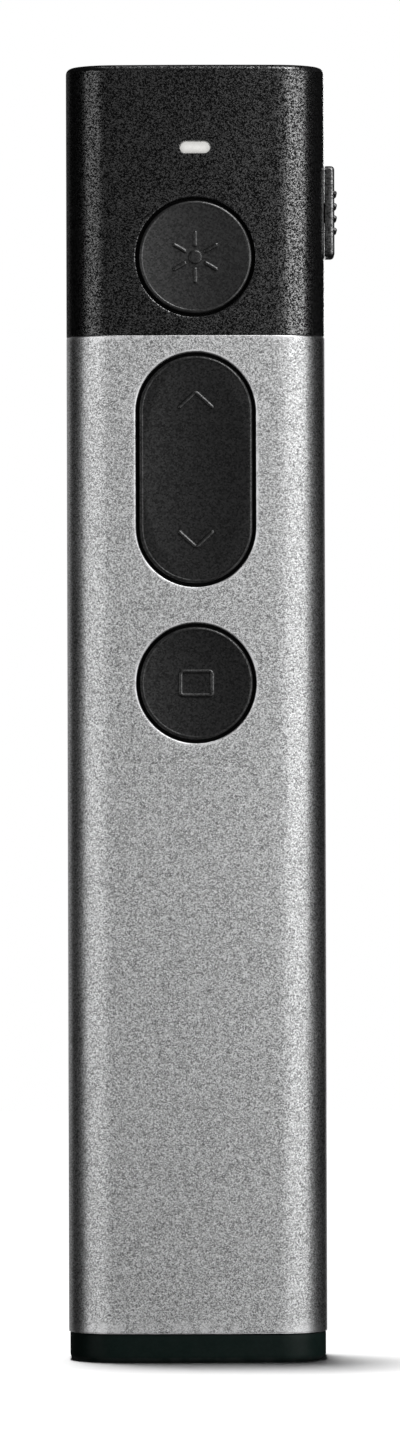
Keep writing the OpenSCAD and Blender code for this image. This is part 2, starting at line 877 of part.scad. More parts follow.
module laser_barrel() {
  color(gold) translate([0, barrel_y, 0]) difference() {
    translate([0, 0, barrel_z]) cylinder(d = barrel_d, h = barrel_l);
    translate([0, 0, barrel_z - past]) cylinder(d = barrel_d - 2 * can_wall, h = barrel_l + 2 * past);
    translate([0, 0, barrel_z - past]) cylinder(d = barrel_d - 2 * flange_wall, h = diode_room + past);
    translate([0, 0, barrel_top - lens_room]) cylinder(d = barrel_d - 2 * lens_wall, h = lens_room + past);
  }
}

// Plano-convex collimating lens, flat side down on the barrel's step.
module laser_lens() {
  lens_d = barrel_d - 2 * lens_wall - 2 * screw_gap;
  lens_t = 1.3;
  ball_r = 4;
  z = barrel_top - lens_room;
  color("#cfe4ee") translate([0, barrel_y, 0]) intersection() {
    translate([0, 0, z]) cylinder(d = lens_d, h = lens_t);
    translate([0, 0, z + lens_t - ball_r]) sphere(ball_r);
  }
}

module laser_diode() {
  flange_t = 1;
  can_l = 2.6;
  pin_r = 0.9;
  pin_d = 0.4;
  pin_l = 3.4;
  color(steel) translate([0, barrel_y, barrel_z + diode_room - flange_t]) {
    cylinder(d = barrel_d - 2 * flange_wall - 2 * screw_gap, h = flange_t);
    cylinder(d = barrel_d - 2 * can_wall - 2 * screw_gap, h = can_l);
    for (a = [90, 210, 330]) {
      translate([pin_r * cos(a), pin_r * sin(a), -pin_l]) cylinder(d = pin_d, h = pin_l + flange_t / 2);
    }
  }
}

// The block that carries the barrel on the back of the board.
module laser_holder() {
  holder_x = 3.9;
  holder_l = 6;
  ring_t = 0.65;
  z = barrel_z + 1;
  color("#2b2d30") difference() {
    union() {
      box(-holder_x, holder_x, board_back, barrel_y, z, z + holder_l);
      translate([0, barrel_y, z]) cylinder(d = barrel_d + 2 * ring_t, h = holder_l);
    }
    translate([0, barrel_y, z - past]) cylinder(d = barrel_d + 2 * screw_gap, h = holder_l + 2 * past);
  }
}

// ---- board ----

module main_board() {
  hole_gap = 0.15;
  color("#1e5a3a") difference() {
    through_front(board_front, board_back) {
      translate([0, (board_z + board_top) / 2]) rounded_rect(board_w, board_top - board_z, board_edge);
    }
    for (x = [-boss_x, boss_x], z = boss_zs) {
      through_front(board_front - past, board_back + past) translate([x, z]) circle(d = screw_d + 2 * hole_gap);
    }
  }
}

// A block on the board's back: middle at x and z, width across, length up.
module chip(x, z, width, length, height) {
  translate([x - width / 2, board_back, z - length / 2]) cube([width, height, length]);
}

module radio_chip() {
  color("#17181a") chip(0, chips_z, 5, 5, 0.85);
}

module radio_crystal() {
  color(steel) chip(-5.4, chips_z, 2.5, 3.2, 0.7);
}

module charger_chip() {
  color("#17181a") chip(0, battery_z - battery_up + 2, 3, 3, 0.75);
}

// Rows of small chip resistors and capacitors round the radio chip.
module chip_parts() {
  part_w = 1;
  part_l = 0.5;
  part_t = 0.35;
  across = 2.5;
  rows_z = chips_z - 5.5;
  row_step = 1.6;
  column_x = 4.6;
  column_z = chips_z - 2;
  column_step = 1.4;
  color("#8d8468") {
    for (row = [0 : 3], col = [-2 : 2]) chip(across * col, rows_z - row_step * row, part_w, part_l, part_t);
    for (k = [0 : 3]) chip(column_x, column_z + column_step * k, part_w, part_l, part_t);
  }
}

// The printed antenna on the board's front, above the light, where no metal covers it.
module antenna_trace() {
  turns = 5;
  pitch = 2.4;
  line = 0.4;
  line_t = 0.04;
  tall = 2.2;
  z = board_top - board_edge - tall;
  x0 = -turns * pitch / 2;
  color(gold) through_front(board_front - line_t, board_front) {
    for (i = [0 : turns]) translate([x0 + i * pitch - line / 2, z]) square([line, tall]);
    for (i = [0 : turns - 1]) {
      translate([x0 + i * pitch - line / 2, i % 2 == 0 ? z + tall - line : z]) square([pitch + line, line]);
    }
  }
}

// ---- battery ----

module battery_cell() {
  cell_edge = 1;
  color("#9aa0a6") translate([0, battery_mid, battery_z]) linear_extrude(battery_l) {
    rounded_rect(battery_w, battery_t, cell_edge);
  }
}

module battery_pad() {
  x = battery_w / 2 - pad_in;
  color("#4a4a4a") box(-x, x, board_back, battery_y, battery_z + pad_in, battery_top - pad_in);
}

// Two insulated leads, each two equal arcs that step from the cell's middle to the connector.
module battery_leads() {
  step = battery_mid - connector_y;
  bend_r = (pow(step, 2) + pow(lead_h, 2)) / (4 * step);
  bend_a = asin(lead_h / (2 * bend_r));
  for (x = [-lead_x, lead_x]) color(x < 0 ? "#a32020" : "#1b1b1b") {
    translate([x, battery_mid - bend_r, battery_top]) rotate([90, 0, 90]) {
      rotate_extrude(angle = bend_a) translate([bend_r, 0]) circle(d = lead_d, $fn = 24);
    }
    translate([x, connector_y + bend_r, battery_top + lead_h]) rotate([90, 0, 90]) rotate(180) {
      rotate_extrude(angle = bend_a) translate([bend_r, 0]) circle(d = lead_d, $fn = 24);
    }
  }
}

module battery_connector() {
  color("#e6e2d6") translate([0, connector_y, battery_top + lead_h + plug_block_h / 2]) {
    cube([plug_block_w, plug_block_t, plug_block_h], center = true);
  }
}

// ---- base sockets ----

module charge_socket_shell() {
  color(steel) translate([0, usb_y, mouth_in]) difference() {
    linear_extrude(usb_l) pill(usb_w, usb_t);
    translate([0, 0, -past]) linear_extrude(usb_l + past - plug_back) {
      pill(usb_w - 2 * usb_wall, usb_t - 2 * usb_wall);
    }
  }
}

module charge_socket_tongue() {
  tongue_w = 6.7;
  tongue_t = 0.7;
  recess = 0.9;
  color(black) translate([0, usb_y, mouth_in + recess]) {
    translate([-tongue_w / 2, -tongue_t / 2, 0]) cube([tongue_w, tongue_t, usb_l - recess - plug_back]);
  }
}

module receiver_housing() {
  groove_r = 0.5;
  groove_z = 1.2;
  groove_end = 2;
  color(black) translate([0, receiver_y, mouth_in]) difference() {
    linear_extrude(receiver_l) receiver_outline(0);
    translate([0, receiver_t / 2, groove_z]) rotate([0, 90, 0]) {
      cylinder(r = groove_r, h = receiver_w - 2 * groove_end, center = true);
    }
  }
}

module receiver_plug() {
  latch_x = 2.5;
  latch_w = 2;
  latch_z = plug_l - 5.6;
  color(steel) translate([0, receiver_y, mouth_in + receiver_l]) difference() {
    linear_extrude(plug_l) square([plug_w, plug_t], center = true);
    translate([0, 0, plug_back]) linear_extrude(plug_l) {
      square([plug_w - 2 * plug_wall, plug_t - 2 * plug_wall], center = true);
    }
    for (x = [-latch_x, latch_x]) translate([x, 0, latch_z]) {
      cube([latch_w, plug_t + past, latch_w], center = true);
    }
  }
}

module receiver_tongue() {
  tongue_t = 1.8;
  short = 1.2;
  color("#d9d9d4") translate([0, receiver_y, mouth_in + receiver_l + plug_back]) {
    translate([-plug_w / 2 + plug_wall, plug_t / 2 - plug_wall - tongue_t, 0]) {
      cube([plug_w - 2 * plug_wall, tongue_t, plug_l - short]);
    }
  }
}

// A leaf of spring steel in the bay that lightly holds the plug.
module receiver_clip() {
  leaf_t = 0.12;
  leaf_x = 1.5;
  leaf_down = 3;
  leaf_up = 4;
  bow_r = 5;
  bow = 0.1;
  y = bay_front + bay_wall;
  z = receiver_top - 5;
  color(steel) {
    box(-leaf_x, leaf_x, y, y + leaf_t, z - leaf_down, z + leaf_up);
    intersection() {
      translate([-leaf_x, y + leaf_t + bow - bow_r, z]) rotate([0, 90, 0]) cylinder(r = bow_r, h = 2 * leaf_x);
      box(-leaf_x, leaf_x, y + leaf_t / 2, y + past, z - leaf_down, z + leaf_down);
    }
  }
}

// ---- fasteners ----

module screw() {
  cylinder(d = screw_d, h = screw_l);
  difference() {
    translate([0, 0, -screw_head_h]) cylinder(d = screw_head_d, h = screw_head_h);
    translate([0, 0, -screw_head_h - past]) cylinder(d = hex_d, h = past + hex_in, $fn = 6);
  }
}

module cap_screws() {
  color(steel) for (x = [-1, 1]) {
    translate([x * post_x, post_y, mouth_in + screw_head_h]) screw();
  }
}

module board_screws() {
  color(steel) for (x = [-boss_x, boss_x], z = boss_zs) {
    translate([x, board_back, z]) rotate([90, 0, 0]) screw();
  }
}

sleeve();
head_shell();
end_cap();
chassis();
laser_keycap();
rocker_keycap();
menu_keycap();
rocker_pin();
laser_switch();
page_up_switch();
page_down_switch();
menu_switch();
laser_plunger();
page_up_plunger();
page_down_plunger();
menu_plunger();
power_knob();
power_lever();
power_switch_body();
status_lamp();
light_pipe();
laser_window();
laser_barrel();
laser_lens();
laser_diode();
laser_holder();
main_board();
radio_chip();
radio_crystal();
charger_chip();
chip_parts();
antenna_trace();
battery_cell();
battery_pad();
battery_leads();
battery_connector();
charge_socket_shell();
charge_socket_tongue();
receiver_housing();
receiver_plug();
receiver_tongue();
receiver_clip();
cap_screws();
board_screws();
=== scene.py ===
import json
import math

import bmesh
import bpy
import numpy as np
from mathutils import Matrix, Vector
from numpy import array, concatenate as join, cos, linspace, pi, sin, stack

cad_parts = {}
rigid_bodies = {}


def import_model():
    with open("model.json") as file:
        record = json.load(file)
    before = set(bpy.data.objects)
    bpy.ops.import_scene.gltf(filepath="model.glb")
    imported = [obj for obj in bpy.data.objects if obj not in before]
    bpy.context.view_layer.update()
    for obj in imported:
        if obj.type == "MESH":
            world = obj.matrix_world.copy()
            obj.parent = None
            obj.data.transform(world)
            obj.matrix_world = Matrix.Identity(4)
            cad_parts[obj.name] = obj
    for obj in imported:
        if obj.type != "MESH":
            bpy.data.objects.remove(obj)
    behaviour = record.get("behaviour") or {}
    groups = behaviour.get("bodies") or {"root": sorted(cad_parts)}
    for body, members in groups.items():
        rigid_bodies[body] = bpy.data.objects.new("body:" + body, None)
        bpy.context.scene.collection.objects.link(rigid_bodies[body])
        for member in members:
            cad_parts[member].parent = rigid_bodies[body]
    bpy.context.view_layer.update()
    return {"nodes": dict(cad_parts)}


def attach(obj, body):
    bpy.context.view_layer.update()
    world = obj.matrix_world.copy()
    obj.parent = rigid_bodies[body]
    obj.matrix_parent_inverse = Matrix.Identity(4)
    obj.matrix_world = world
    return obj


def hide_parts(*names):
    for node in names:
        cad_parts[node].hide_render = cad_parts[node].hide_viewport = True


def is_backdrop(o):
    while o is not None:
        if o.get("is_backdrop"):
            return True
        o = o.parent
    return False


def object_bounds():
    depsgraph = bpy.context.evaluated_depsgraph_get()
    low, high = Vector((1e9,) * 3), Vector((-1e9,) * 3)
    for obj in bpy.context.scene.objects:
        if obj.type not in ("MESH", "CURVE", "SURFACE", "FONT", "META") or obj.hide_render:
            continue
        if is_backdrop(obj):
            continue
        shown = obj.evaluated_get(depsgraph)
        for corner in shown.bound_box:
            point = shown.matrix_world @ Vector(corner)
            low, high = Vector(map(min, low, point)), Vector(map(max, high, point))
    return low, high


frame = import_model()
print("frame loaded,", len(frame["nodes"]), "CAD pieces")

mm = 0.001  # lengths are in millimetres where no note says metres, and become metres when a mesh is made

# In metres: points nearer than weld become one, and after a cut, points nearer than sliver. The angle is in degrees.
meshing = {"weld": 2e-7, "sliver": 8e-6, "sharpAngle": 32}


# A new object in the scene.
def addObject(name, data):
    thing = bpy.data.objects.new(name, data)
    bpy.context.scene.collection.objects.link(thing)
    return thing


# Grid P(u, v) -> quads (i, j), (i, j+1), (i+1, j+1), (i+1, j). Grids that share a line are welded there,
# a row that shrinks to one point becomes a closed pole, and keep says which quads stay.
def makeMesh(name, grids):
    points, faces, edges, start = [], [], [], 0
    for grid in grids:
        p = np.asarray(grid["points"], float)
        rows, cols = p.shape[:2]
        index = start + np.arange(rows * cols).reshape(rows, cols)
        quads = stack([index[:-1, :-1], index[:-1, 1:], index[1:, 1:], index[1:, :-1]], -1)
        if "keep" in grid:
            quads = quads[grid["keep"]]
        points.append(p.reshape(-1, 3))
        faces.append(quads.reshape(-1, 4))
        edges.append(np.broadcast_to(grid.get("edge", 0.0), (rows, cols)).reshape(-1))
        start += rows * cols
    mesh = bpy.data.meshes.new(name)
    mesh.from_pydata((join(points) * mm).tolist(), [], join(faces).tolist())
    worn = mesh.attributes.new("edge", "FLOAT", "POINT").data
    worn.foreach_set("value", join(edges).astype(np.float32))
    work = bmesh.new()
    work.from_mesh(mesh)
    bmesh.ops.remove_doubles(work, verts=work.verts, dist=meshing["weld"])
    bmesh.ops.delete(work, geom=[v for v in work.verts if not v.link_faces], context="VERTS")
    bmesh.ops.recalc_face_normals(work, faces=work.faces)
    work.to_mesh(mesh)
    work.free()
    return mesh


# Vertex normal = sum of the normals of the faces round it, each times its area, so that wide faces stay
# flat and only the narrow rounding between them turns.
def softenNormals(mesh):
    mesh.shade_smooth()
    count = len(mesh.polygons)
    vertexOf, sides = np.empty(len(mesh.loops), int), np.empty(count, int)
    normal, area = np.empty(count * 3), np.empty(count)
    mesh.loops.foreach_get("vertex_index", vertexOf)
    for label, values in (("normal", normal), ("area", area), ("loop_total", sides)):
        mesh.polygons.foreach_get(label, values)
    total = np.zeros((len(mesh.vertices), 3))
    np.add.at(total, vertexOf, np.repeat(normal.reshape(-1, 3) * area[:, None], sides, axis=0))
    total /= np.maximum(np.linalg.norm(total, axis=1), 1e-20)[:, None]
    mesh.normals_split_custom_set_from_vertices(total.tolist())


# A piece from its grids, with its finish, the body it rides on and the CAD pieces it stands for.
def addPiece(name, grids, material, body, stands=()):
    mesh = makeMesh(name, grids)
    softenNormals(mesh)
    piece = addObject(name, mesh)
    mesh.materials.append(material)
    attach(piece, body)
    if stands:
        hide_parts(*stands)
    return piece


# The body's cross-section, and into how many columns each stretch of it is cut.
section = {
    "side": 13.0,          # half the width
    "crown": 150.0,        # radius of the bulged front and back
    "crownCentre": 142.5,  # how far that circle's centre lies behind the middle
    "corner": 5.0,         # radius of the four long corners
    "cornerX": 8.0,        # how far the corners' centres lie from the middle
    "windowX": 8.0,        # the front zone that holds the key holes ends here
    "frontCols": 22, "windowCols": 3, "cornerCols": 20, "sideCols": 8, "backCols": 12,
}
tangent = math.asin(section["cornerX"] / (section["crown"] - section["corner"]))
cornerY = (section["crown"] - section["corner"]) * math.cos(tangent) - section["crownCentre"]
frontX = linspace(-section["windowX"], section["windowX"], section["frontCols"] + 1)
flatFirst = section["windowCols"] + section["cornerCols"]  # roundTheBack's column where the side's flat starts


# Front crown moved inwards by inset: y = centre - sqrt((R - inset)^2 - x^2).
def frontCrown(x, z, inset):
    x, z, inset = np.broadcast_arrays(x, z, inset)
    y = section["crownCentre"] - np.sqrt((section["crown"] - inset) ** 2 - x ** 2)
    return stack([x, y, z], -1)


# One row of the section from the front zone's right edge, round the right side to the middle of the back,
# then the mirror of that to the front zone's left edge: arcs (R - inset)(sin a, -cos a) round three centres.
def roundTheBack(z, inset):
    z, inset = (np.asarray(v, float).reshape(-1, 1) for v in np.broadcast_arrays(z, inset))
    big, small = section["crown"] - inset, section["corner"] - inset
    start = np.arcsin(section["windowX"] / big)
    a = start + (tangent - start) * linspace(0, 1, section["windowCols"] + 1)
    x, y = [big * sin(a)], [section["crownCentre"] - big * cos(a)]
    flat = linspace(-cornerY, cornerY, section["sideCols"] + 1)[1:]
    for first, last, centreY in ((tangent, pi / 2, -cornerY), (pi / 2, pi - tangent, cornerY)):
        a = linspace(first, last, section["cornerCols"] + 1)[1:]
        x.append(section["cornerX"] + small * sin(a))
        y.append(centreY - small * cos(a))
        if centreY < 0:
            x.append(section["side"] - inset + 0 * flat)
            y.append(flat + 0 * inset)
    a = linspace(pi - tangent, pi, section["backCols"] // 2 + 1)[1:]
    x.append(big * sin(a))
    y.append(-section["crownCentre"] - big * cos(a))
    x, y = join(x, 1), join(y, 1)
    x, y = join([x, -x[:, -2::-1]], 1), join([y, y[:, -2::-1]], 1)
    return stack([x, y, z + 0 * x], -1)


# The front zone between two heights: columns at frontX, rows at z.
def frontBand(z, inset):
    z, inset = np.broadcast_arrays(np.asarray(z, float), inset)
    return frontCrown(frontX[None, :], z[:, None], inset[:, None])


# A whole row of the section as one closed loop: round the back, then across the front.
def wholeLoop(z, inset):
    return join([roundTheBack(z, inset), frontBand(np.atleast_1d(z), inset)[:, 1:]], 1)


# Quarter round of radius r between two faces: inset = r (1 - cos a), drop = r (1 - sin a), a = 0..90 degrees.
def quarter(r, steps=4):
    a = linspace(0, pi / 2, steps + 1)
    return r * (1 - cos(a)), r * (1 - sin(a))


# The first column once more at the end, which closes each row into a ring.
def closeRows(points):
    return join([points, points[:, :1]], 1)


# A rounded rectangle round (u, v): half the distances between its corners' centres, and their radius.
def roundedShape(u, v, halfU, halfV, r, **more):
    return {"u": u, "v": v, "halfU": halfU, "halfV": halfV, "r": r, **more}


# Its outline, seen from its own middle. Each side starts and ends at 45 degrees of a corner arc, and points
# lie at equal steps along it. Returns the points and their outward normals.
def roundedOutline(shape, counts):
    points, normals = [], []
    r, arc = shape["r"], shape["r"] * pi / 4
    for k, count in enumerate(counts):
        turn = array([[math.cos(k * pi / 2), math.sin(k * pi / 2)],
                      [-math.sin(k * pi / 2), math.cos(k * pi / 2)]])
        out, along = (shape["halfU"], shape["halfV"]) if k % 2 == 0 else (shape["halfV"], shape["halfU"])
        s = np.arange(count) / count * (2 * arc + 2 * along)
        a = np.clip((s - arc) / r, -pi / 4, 0) + np.clip((s - arc - 2 * along) / r, 0, pi / 4)
        n = stack([cos(a), sin(a)], -1)
        middle = stack([out + 0 * s, np.clip(s - arc - along, -along, along)], -1)
        points.append((middle + r * n) @ turn)
        normals.append(n @ turn)
    return join(points), join(normals)


# The wall round a hole, as one strip that runs from the frame of grid lines on the inner skin, in to the
# hole, through the wall, over the rounded lip, and out to the same frame on the outer skin.
# place(u, v, inset) puts a point on the wall. Between hole and frame, P = (1 - w) hole + w frame.
def holedWall(hole, u, v, place, wall, lip):
    nu, nv = len(u) - 1, len(v) - 1
    border = stack([join([np.full(nv, u[-1]), u[:0:-1], np.full(nv, u[0]), u[:-1]]),
                    join([v[:-1], np.full(nu, v[-1]), v[:0:-1], np.full(nu, v[0])])], -1)
    outline, normal = roundedOutline(hole, (nv, nu, nv, nu))
    outline = outline + [hole["u"], hole["v"]]
    rim = outline + normal * hole.get("near", 0.35)
    blend = linspace(1, 0, hole.get("steps", 7) + 1) ** 1.3
    rows = [(rim * (1 - w) + border * w, wall, 0.0) for w in blend]
    rows += [(outline, wall, 0.0), (outline, (wall + lip) / 2, 0.3)]
    rows += [(outline + normal * inset, drop, 1.0) for inset, drop in zip(*quarter(lip))]
    rows += [(rim * (1 - w) + border * w, 0.0, 0.12 * (w == 0)) for w in blend[::-1]]
    flat = array([row[0] for row in rows])
    depth, edge = (array([[row[k]] for row in rows]) for k in (1, 2))
    return {"points": closeRows(place(flat[..., 0], flat[..., 1], depth)), "edge": edge}


# The front of a tube from z0 to z1, outside and inside: plain bands below, between and above its two holes, and
# a holed wall round each. Returns the heights of all its rows, the bands and the walls.
def holedFront(part, lower, upper, z0, z1):
    low, high = (linspace(*part[name + "Band"]) for name in (lower, upper))
    plain = [linspace(a, b, part[rows]) for a, b, rows in
             ((z0, low[0], "lowRows"), (low[-1], high[0], "midRows"), (high[-1], z1, "topRows"))]
    z = join([plain[0], low[1:], plain[1][1:], high[1:], plain[2][1:]])
    bands = [{"points": frontBand(band, inset)} for inset in (0.0, part["wall"]) for band in plain]
    walls = [holedWall(part[name], frontX, rows, frontCrown, part["wall"], part[name + "Lip"])
             for name, rows in ((lower, low), (upper, high))]
    return z, bands, walls


# A solid as rings of a rounded rectangle: each ring is (share, offset, height), and its points are
# share x corner centre + normal x (r + offset), lifted to that height. place(u, v, height) puts it on the body.
def ringBlock(shape, rings, place, counts=24, edges=None):
    outline, normal = roundedOutline(shape, counts if isinstance(counts, tuple) else (counts,) * 4)
    middle = outline - normal * shape["r"]
    rings = np.asarray(rings, float)
    share, offset, height = (rings[:, k][:, None, None] for k in range(3))
    flat = middle[None] * share + normal[None] * (shape["r"] + offset) + [shape["u"], shape["v"]]
    points = closeRows(place(flat[..., 0], flat[..., 1], height[..., 0] + 0 * flat[..., 0]))
    return {"points": points, "edge": np.zeros((len(rings), 1)) if edges is None else array(edges)[:, None]}


# A block's (u, v, height) on the front: x = u, z = v, and the height runs along y.
def onFront(u, v, y):
    return stack([u, y, v], -1)


# The same on the right side: y = u, z = v, and the height runs along x.
def onSide(u, v, x):
    return stack([x, u, v], -1)


# The same upright: x = u, y = v, and the height runs along z.
def fromBelow(u, v, z):
    return stack([u, v, z], -1)


smallR = 0.05  # corners of the small boxes


# Rings of a small box between two heights.
def boxRings(low, high):
    return [(0, -smallR, low), (1, 0, low), (1, 0, high), (0, -smallR, high)]


# Puts a value into a socket: another node's output is linked to it, a number or colour is set on it.
def feed(tree, socket, value):
    if isinstance(value, bpy.types.NodeSocket):
        tree.links.new(value, socket)
    else:
        socket.default_value = value


# A shader node with its inputs, by name or place, and its settings.
def addNode(tree, kind, inputs, **settings):
    node = tree.nodes.new("ShaderNode" + kind)
    for label, value in settings.items():
        setattr(node, label, value)
    for label, value in inputs.items():
        feed(tree, node.inputs[label], value)
    return node


# One sum: its values are numbers or other nodes' outputs.
def calc(tree, operation, *values):
    return addNode(tree, "Math", dict(enumerate(values)), operation=operation).outputs[0]


# Position on the piece, in metres.
def objectSpace(tree):
    return addNode(tree, "TexCoord", {}).outputs["Object"]


# Smooth noise between 0 and 1.
def noiseAt(tree, place, scale, detail):
    inputs = {"Vector": place, "Scale": scale, "Detail": detail}
    return addNode(tree, "TexNoise", inputs, noise_dimensions="3D").outputs["Fac"]


# A value carried from the range (a, b) to (c, d), eased at both ends unless told otherwise.
def mapped(tree, value, a, b, c, d, easing="SMOOTHSTEP"):
    inputs = {"Value": value, "From Min": a, "From Max": b, "To Min": c, "To Max": d}
    return addNode(tree, "MapRange", inputs, interpolation_type=easing).outputs["Result"]


# Colour x (1 + contrast x speckle), or x floor where that is more.
def varied(tree, colour, speckle, contrast, floor=None):
    gain = calc(tree, "ADD", 1.0, calc(tree, "MULTIPLY", speckle, contrast))
    gain = gain if floor is None else calc(tree, "MAXIMUM", gain, floor)
    return scaled(tree, colour, gain)


# Colour x gain.
def scaled(tree, colour, gain):
    return addNode(tree, "VectorMath", {0: colour, "Scale": gain}, operation="SCALE").outputs["Vector"]


# A shader group. Inputs are {label: value at first}; build makes its nodes and returns {label: output}.
def makeGroup(name, inputs, build):
    kinds = {"Colour": "NodeSocketColor", "Worn": "NodeSocketColor", "Normal": "NodeSocketVector",
             "Stretch": "NodeSocketVector"}
    tree = bpy.data.node_groups.new(name, "ShaderNodeTree")
    for label, value in inputs.items():
        kind = kinds.get(label, "NodeSocketFloat")
        tree.interface.new_socket(label, in_out="INPUT", socket_type=kind).default_value = value
    results = build(tree, tree.nodes.new("NodeGroupInput").outputs)
    for label in results:
        tree.interface.new_socket(label, in_out="OUTPUT", socket_type=kinds.get(label, "NodeSocketFloat"))
    out = tree.nodes.new("NodeGroupOutput")
    for label, value in results.items():
        feed(tree, out.inputs[label], value)
    return tree


# Uses a shader group and returns its outputs.
def useGroup(tree, group, **inputs):
    return addNode(tree, "Group", inputs, node_tree=group).outputs


# Fine grain of a blasted or sparked surface. Speckle = 2 (random facet of Size millimetres - 0.5) + 0.3 (noise
# four times that size - 0.5); Colour out = Colour x (1 + Contrast x speckle); Normal = bump by Relief.
def buildGrain(tree, given):
    place, scale = objectSpace(tree), calc(tree, "DIVIDE", 1000.0, given["Size"])
    facets = addNode(tree, "TexVoronoi", {"Vector": place, "Scale": scale}, voronoi_dimensions="3D", feature="F1")
    facet = addNode(tree, "SeparateColor", {"Color": facets.outputs["Color"]}).outputs["Red"]
    broad = noiseAt(tree, place, calc(tree, "DIVIDE", scale, 4.0), 1.0)
    speckle = calc(tree, "ADD", calc(tree, "MULTIPLY", calc(tree, "SUBTRACT", facet, 0.5), 2.0),
                   calc(tree, "MULTIPLY", calc(tree, "SUBTRACT", broad, 0.5), 0.3))
    relief = {"Distance": calc(tree, "MULTIPLY", given["Relief"], mm), "Height": noiseAt(tree, place, scale, 2.0)}
    return {"Colour": varied(tree, given["Colour"], speckle, given["Contrast"], 0.05), "Speckle": speckle,
            "Normal": addNode(tree, "Bump", relief).outputs["Normal"]}


# Slow change over the surface, such as polish from hands: Value = Low + (High - Low) x smooth noise of Size mm.
def buildDrift(tree, given):
    noise = noiseAt(tree, objectSpace(tree), calc(tree, "DIVIDE", 1000.0, given["Size"]), 3.0)
    return {"Value": mapped(tree, noise, 0.3, 0.7, given["Low"], given["High"])}


# Wear along edges: Mask = Amount x edge attribute x broken noise; Colour out = mix of Colour and Worn by Mask.
def buildWear(tree, given):
    edge = addNode(tree, "Attribute", {}, attribute_name="edge").outputs["Fac"]
    broken = mapped(tree, noiseAt(tree, objectSpace(tree), 900.0, 3.0), 0.38, 0.62, 0.35, 1.0)
    mask = calc(tree, "MULTIPLY", calc(tree, "MULTIPLY", edge, broken), given["Amount"])
    mix = addNode(tree, "Mix", {"Factor": mask, "A": given["Colour"], "B": given["Worn"]}, data_type="RGBA")
    return {"Colour": mix.outputs["Result"], "Mask": mask}


# Fine parallel lines left by rolling or turning: noise stretched along one axis by Stretch. Colour out =
# Colour x (1 + Contrast x (noise - 0.5)), Roughness = Low + (High - Low) x noise, Normal = a shallow bump.
def buildDrawn(tree, given):
    stretched = addNode(tree, "VectorMath", {0: objectSpace(tree), 1: given["Stretch"]}, operation="MULTIPLY")
    noise = noiseAt(tree, stretched.outputs["Vector"], 1.0, 3.0)
    middle = calc(tree, "SUBTRACT", noise, 0.5)
    return {"Colour": varied(tree, given["Colour"], middle, given["Contrast"]),
            "Roughness": mapped(tree, noise, 0.0, 1.0, given["Low"], given["High"], "LINEAR"),
            "Normal": addNode(tree, "Bump", {"Distance": 0.004 * mm, "Height": noise}).outputs["Normal"]}


grey = (0.5, 0.5, 0.5, 1)
grain = makeGroup("fineGrain", {"Colour": grey, "Size": 0.15, "Contrast": 0.2, "Relief": 0.01}, buildGrain)
drift = makeGroup("slowDrift", {"Size": 8.0, "Low": 0.3, "High": 0.4}, buildDrift)
wear = makeGroup("edgeWear", {"Colour": grey, "Worn": (0.8, 0.8, 0.8, 1), "Amount": 0.5}, buildWear)
drawn = makeGroup("drawnLines", {"Colour": (0.6, 0.6, 0.6, 1), "Contrast": 0.15, "Low": 0.25, "High": 0.4,
                                 "Stretch": (20000.0, 20000.0, 900.0)}, buildDrawn)


# A new material and its nodes.
def newMaterial(name):
    material = bpy.data.materials.new(name)
    material.use_nodes = True
    return material, material.node_tree


# Inputs of a material's own shader.
def shade(tree, inputs):
    for label, value in inputs.items():
        feed(tree, tree.nodes["Principled BSDF"].inputs[label], value)


# Grain from its values (size, contrast, relief).
def useGrain(tree, values, **more):
    return useGroup(tree, grain, **dict(zip(("Size", "Contrast", "Relief"), values)), **more)


# Drift from its values (size, low, high).
def useDrift(tree, values):
    return useGroup(tree, drift, **dict(zip(("Size", "Low", "High"), values)))["Value"]


# A moulded, blasted or coated finish: grain over the colour, slow change in roughness, wear on the edges, and
# where there is a skin, one whose strength changes with the facets: Coat Weight = middle + spread x speckle.
def grainedMaterial(name, look):
    material, tree = newMaterial(name)
    fine = useGrain(tree, look["grain"], Colour=(*look["colour"], 1))
    worn = useGroup(tree, wear, Colour=fine["Colour"], Worn=(*look.get("wornColour", (0.1, 0.1, 0.1)), 1),
                    Amount=look.get("wear", 0.0))
    rough = calc(tree, "MULTIPLY", fine["Speckle"], look.get("grainRough", 0.03))
    shade(tree, {"Base Color": worn["Colour"], "Normal": fine["Normal"],
                 "Roughness": calc(tree, "ADD", useDrift(tree, look["drift"]), rough),
                 "Metallic": look.get("metallic", 0.0), "IOR": 1.5,
                 "Specular IOR Level": look.get("specular", 0.5)})
    if "skin" in look:
        middle, spread = look["skin"]
        weight = calc(tree, "ADD", middle, calc(tree, "MULTIPLY", fine["Speckle"], spread))
        shade(tree, {"Coat Weight": calc(tree, "MAXIMUM", weight, 0.0), "Coat Roughness": look["skinRough"],
                     "Coat IOR": 2.0})
    return material


# A rolled or turned metal: the drawn lines change its colour and roughness and give it faint furrows.
def metalMaterial(name, colour, contrast, rough, stretch):
    material, tree = newMaterial(name)
    lines = useGroup(tree, drawn, Colour=(*colour, 1), Contrast=contrast, Low=rough[0], High=rough[1],
                     Stretch=stretch)
    shade(tree, {"Base Color": lines["Colour"], "Roughness": lines["Roughness"], "Normal": lines["Normal"],
                 "Metallic": 1.0})
    return material


print("shader groups ready")

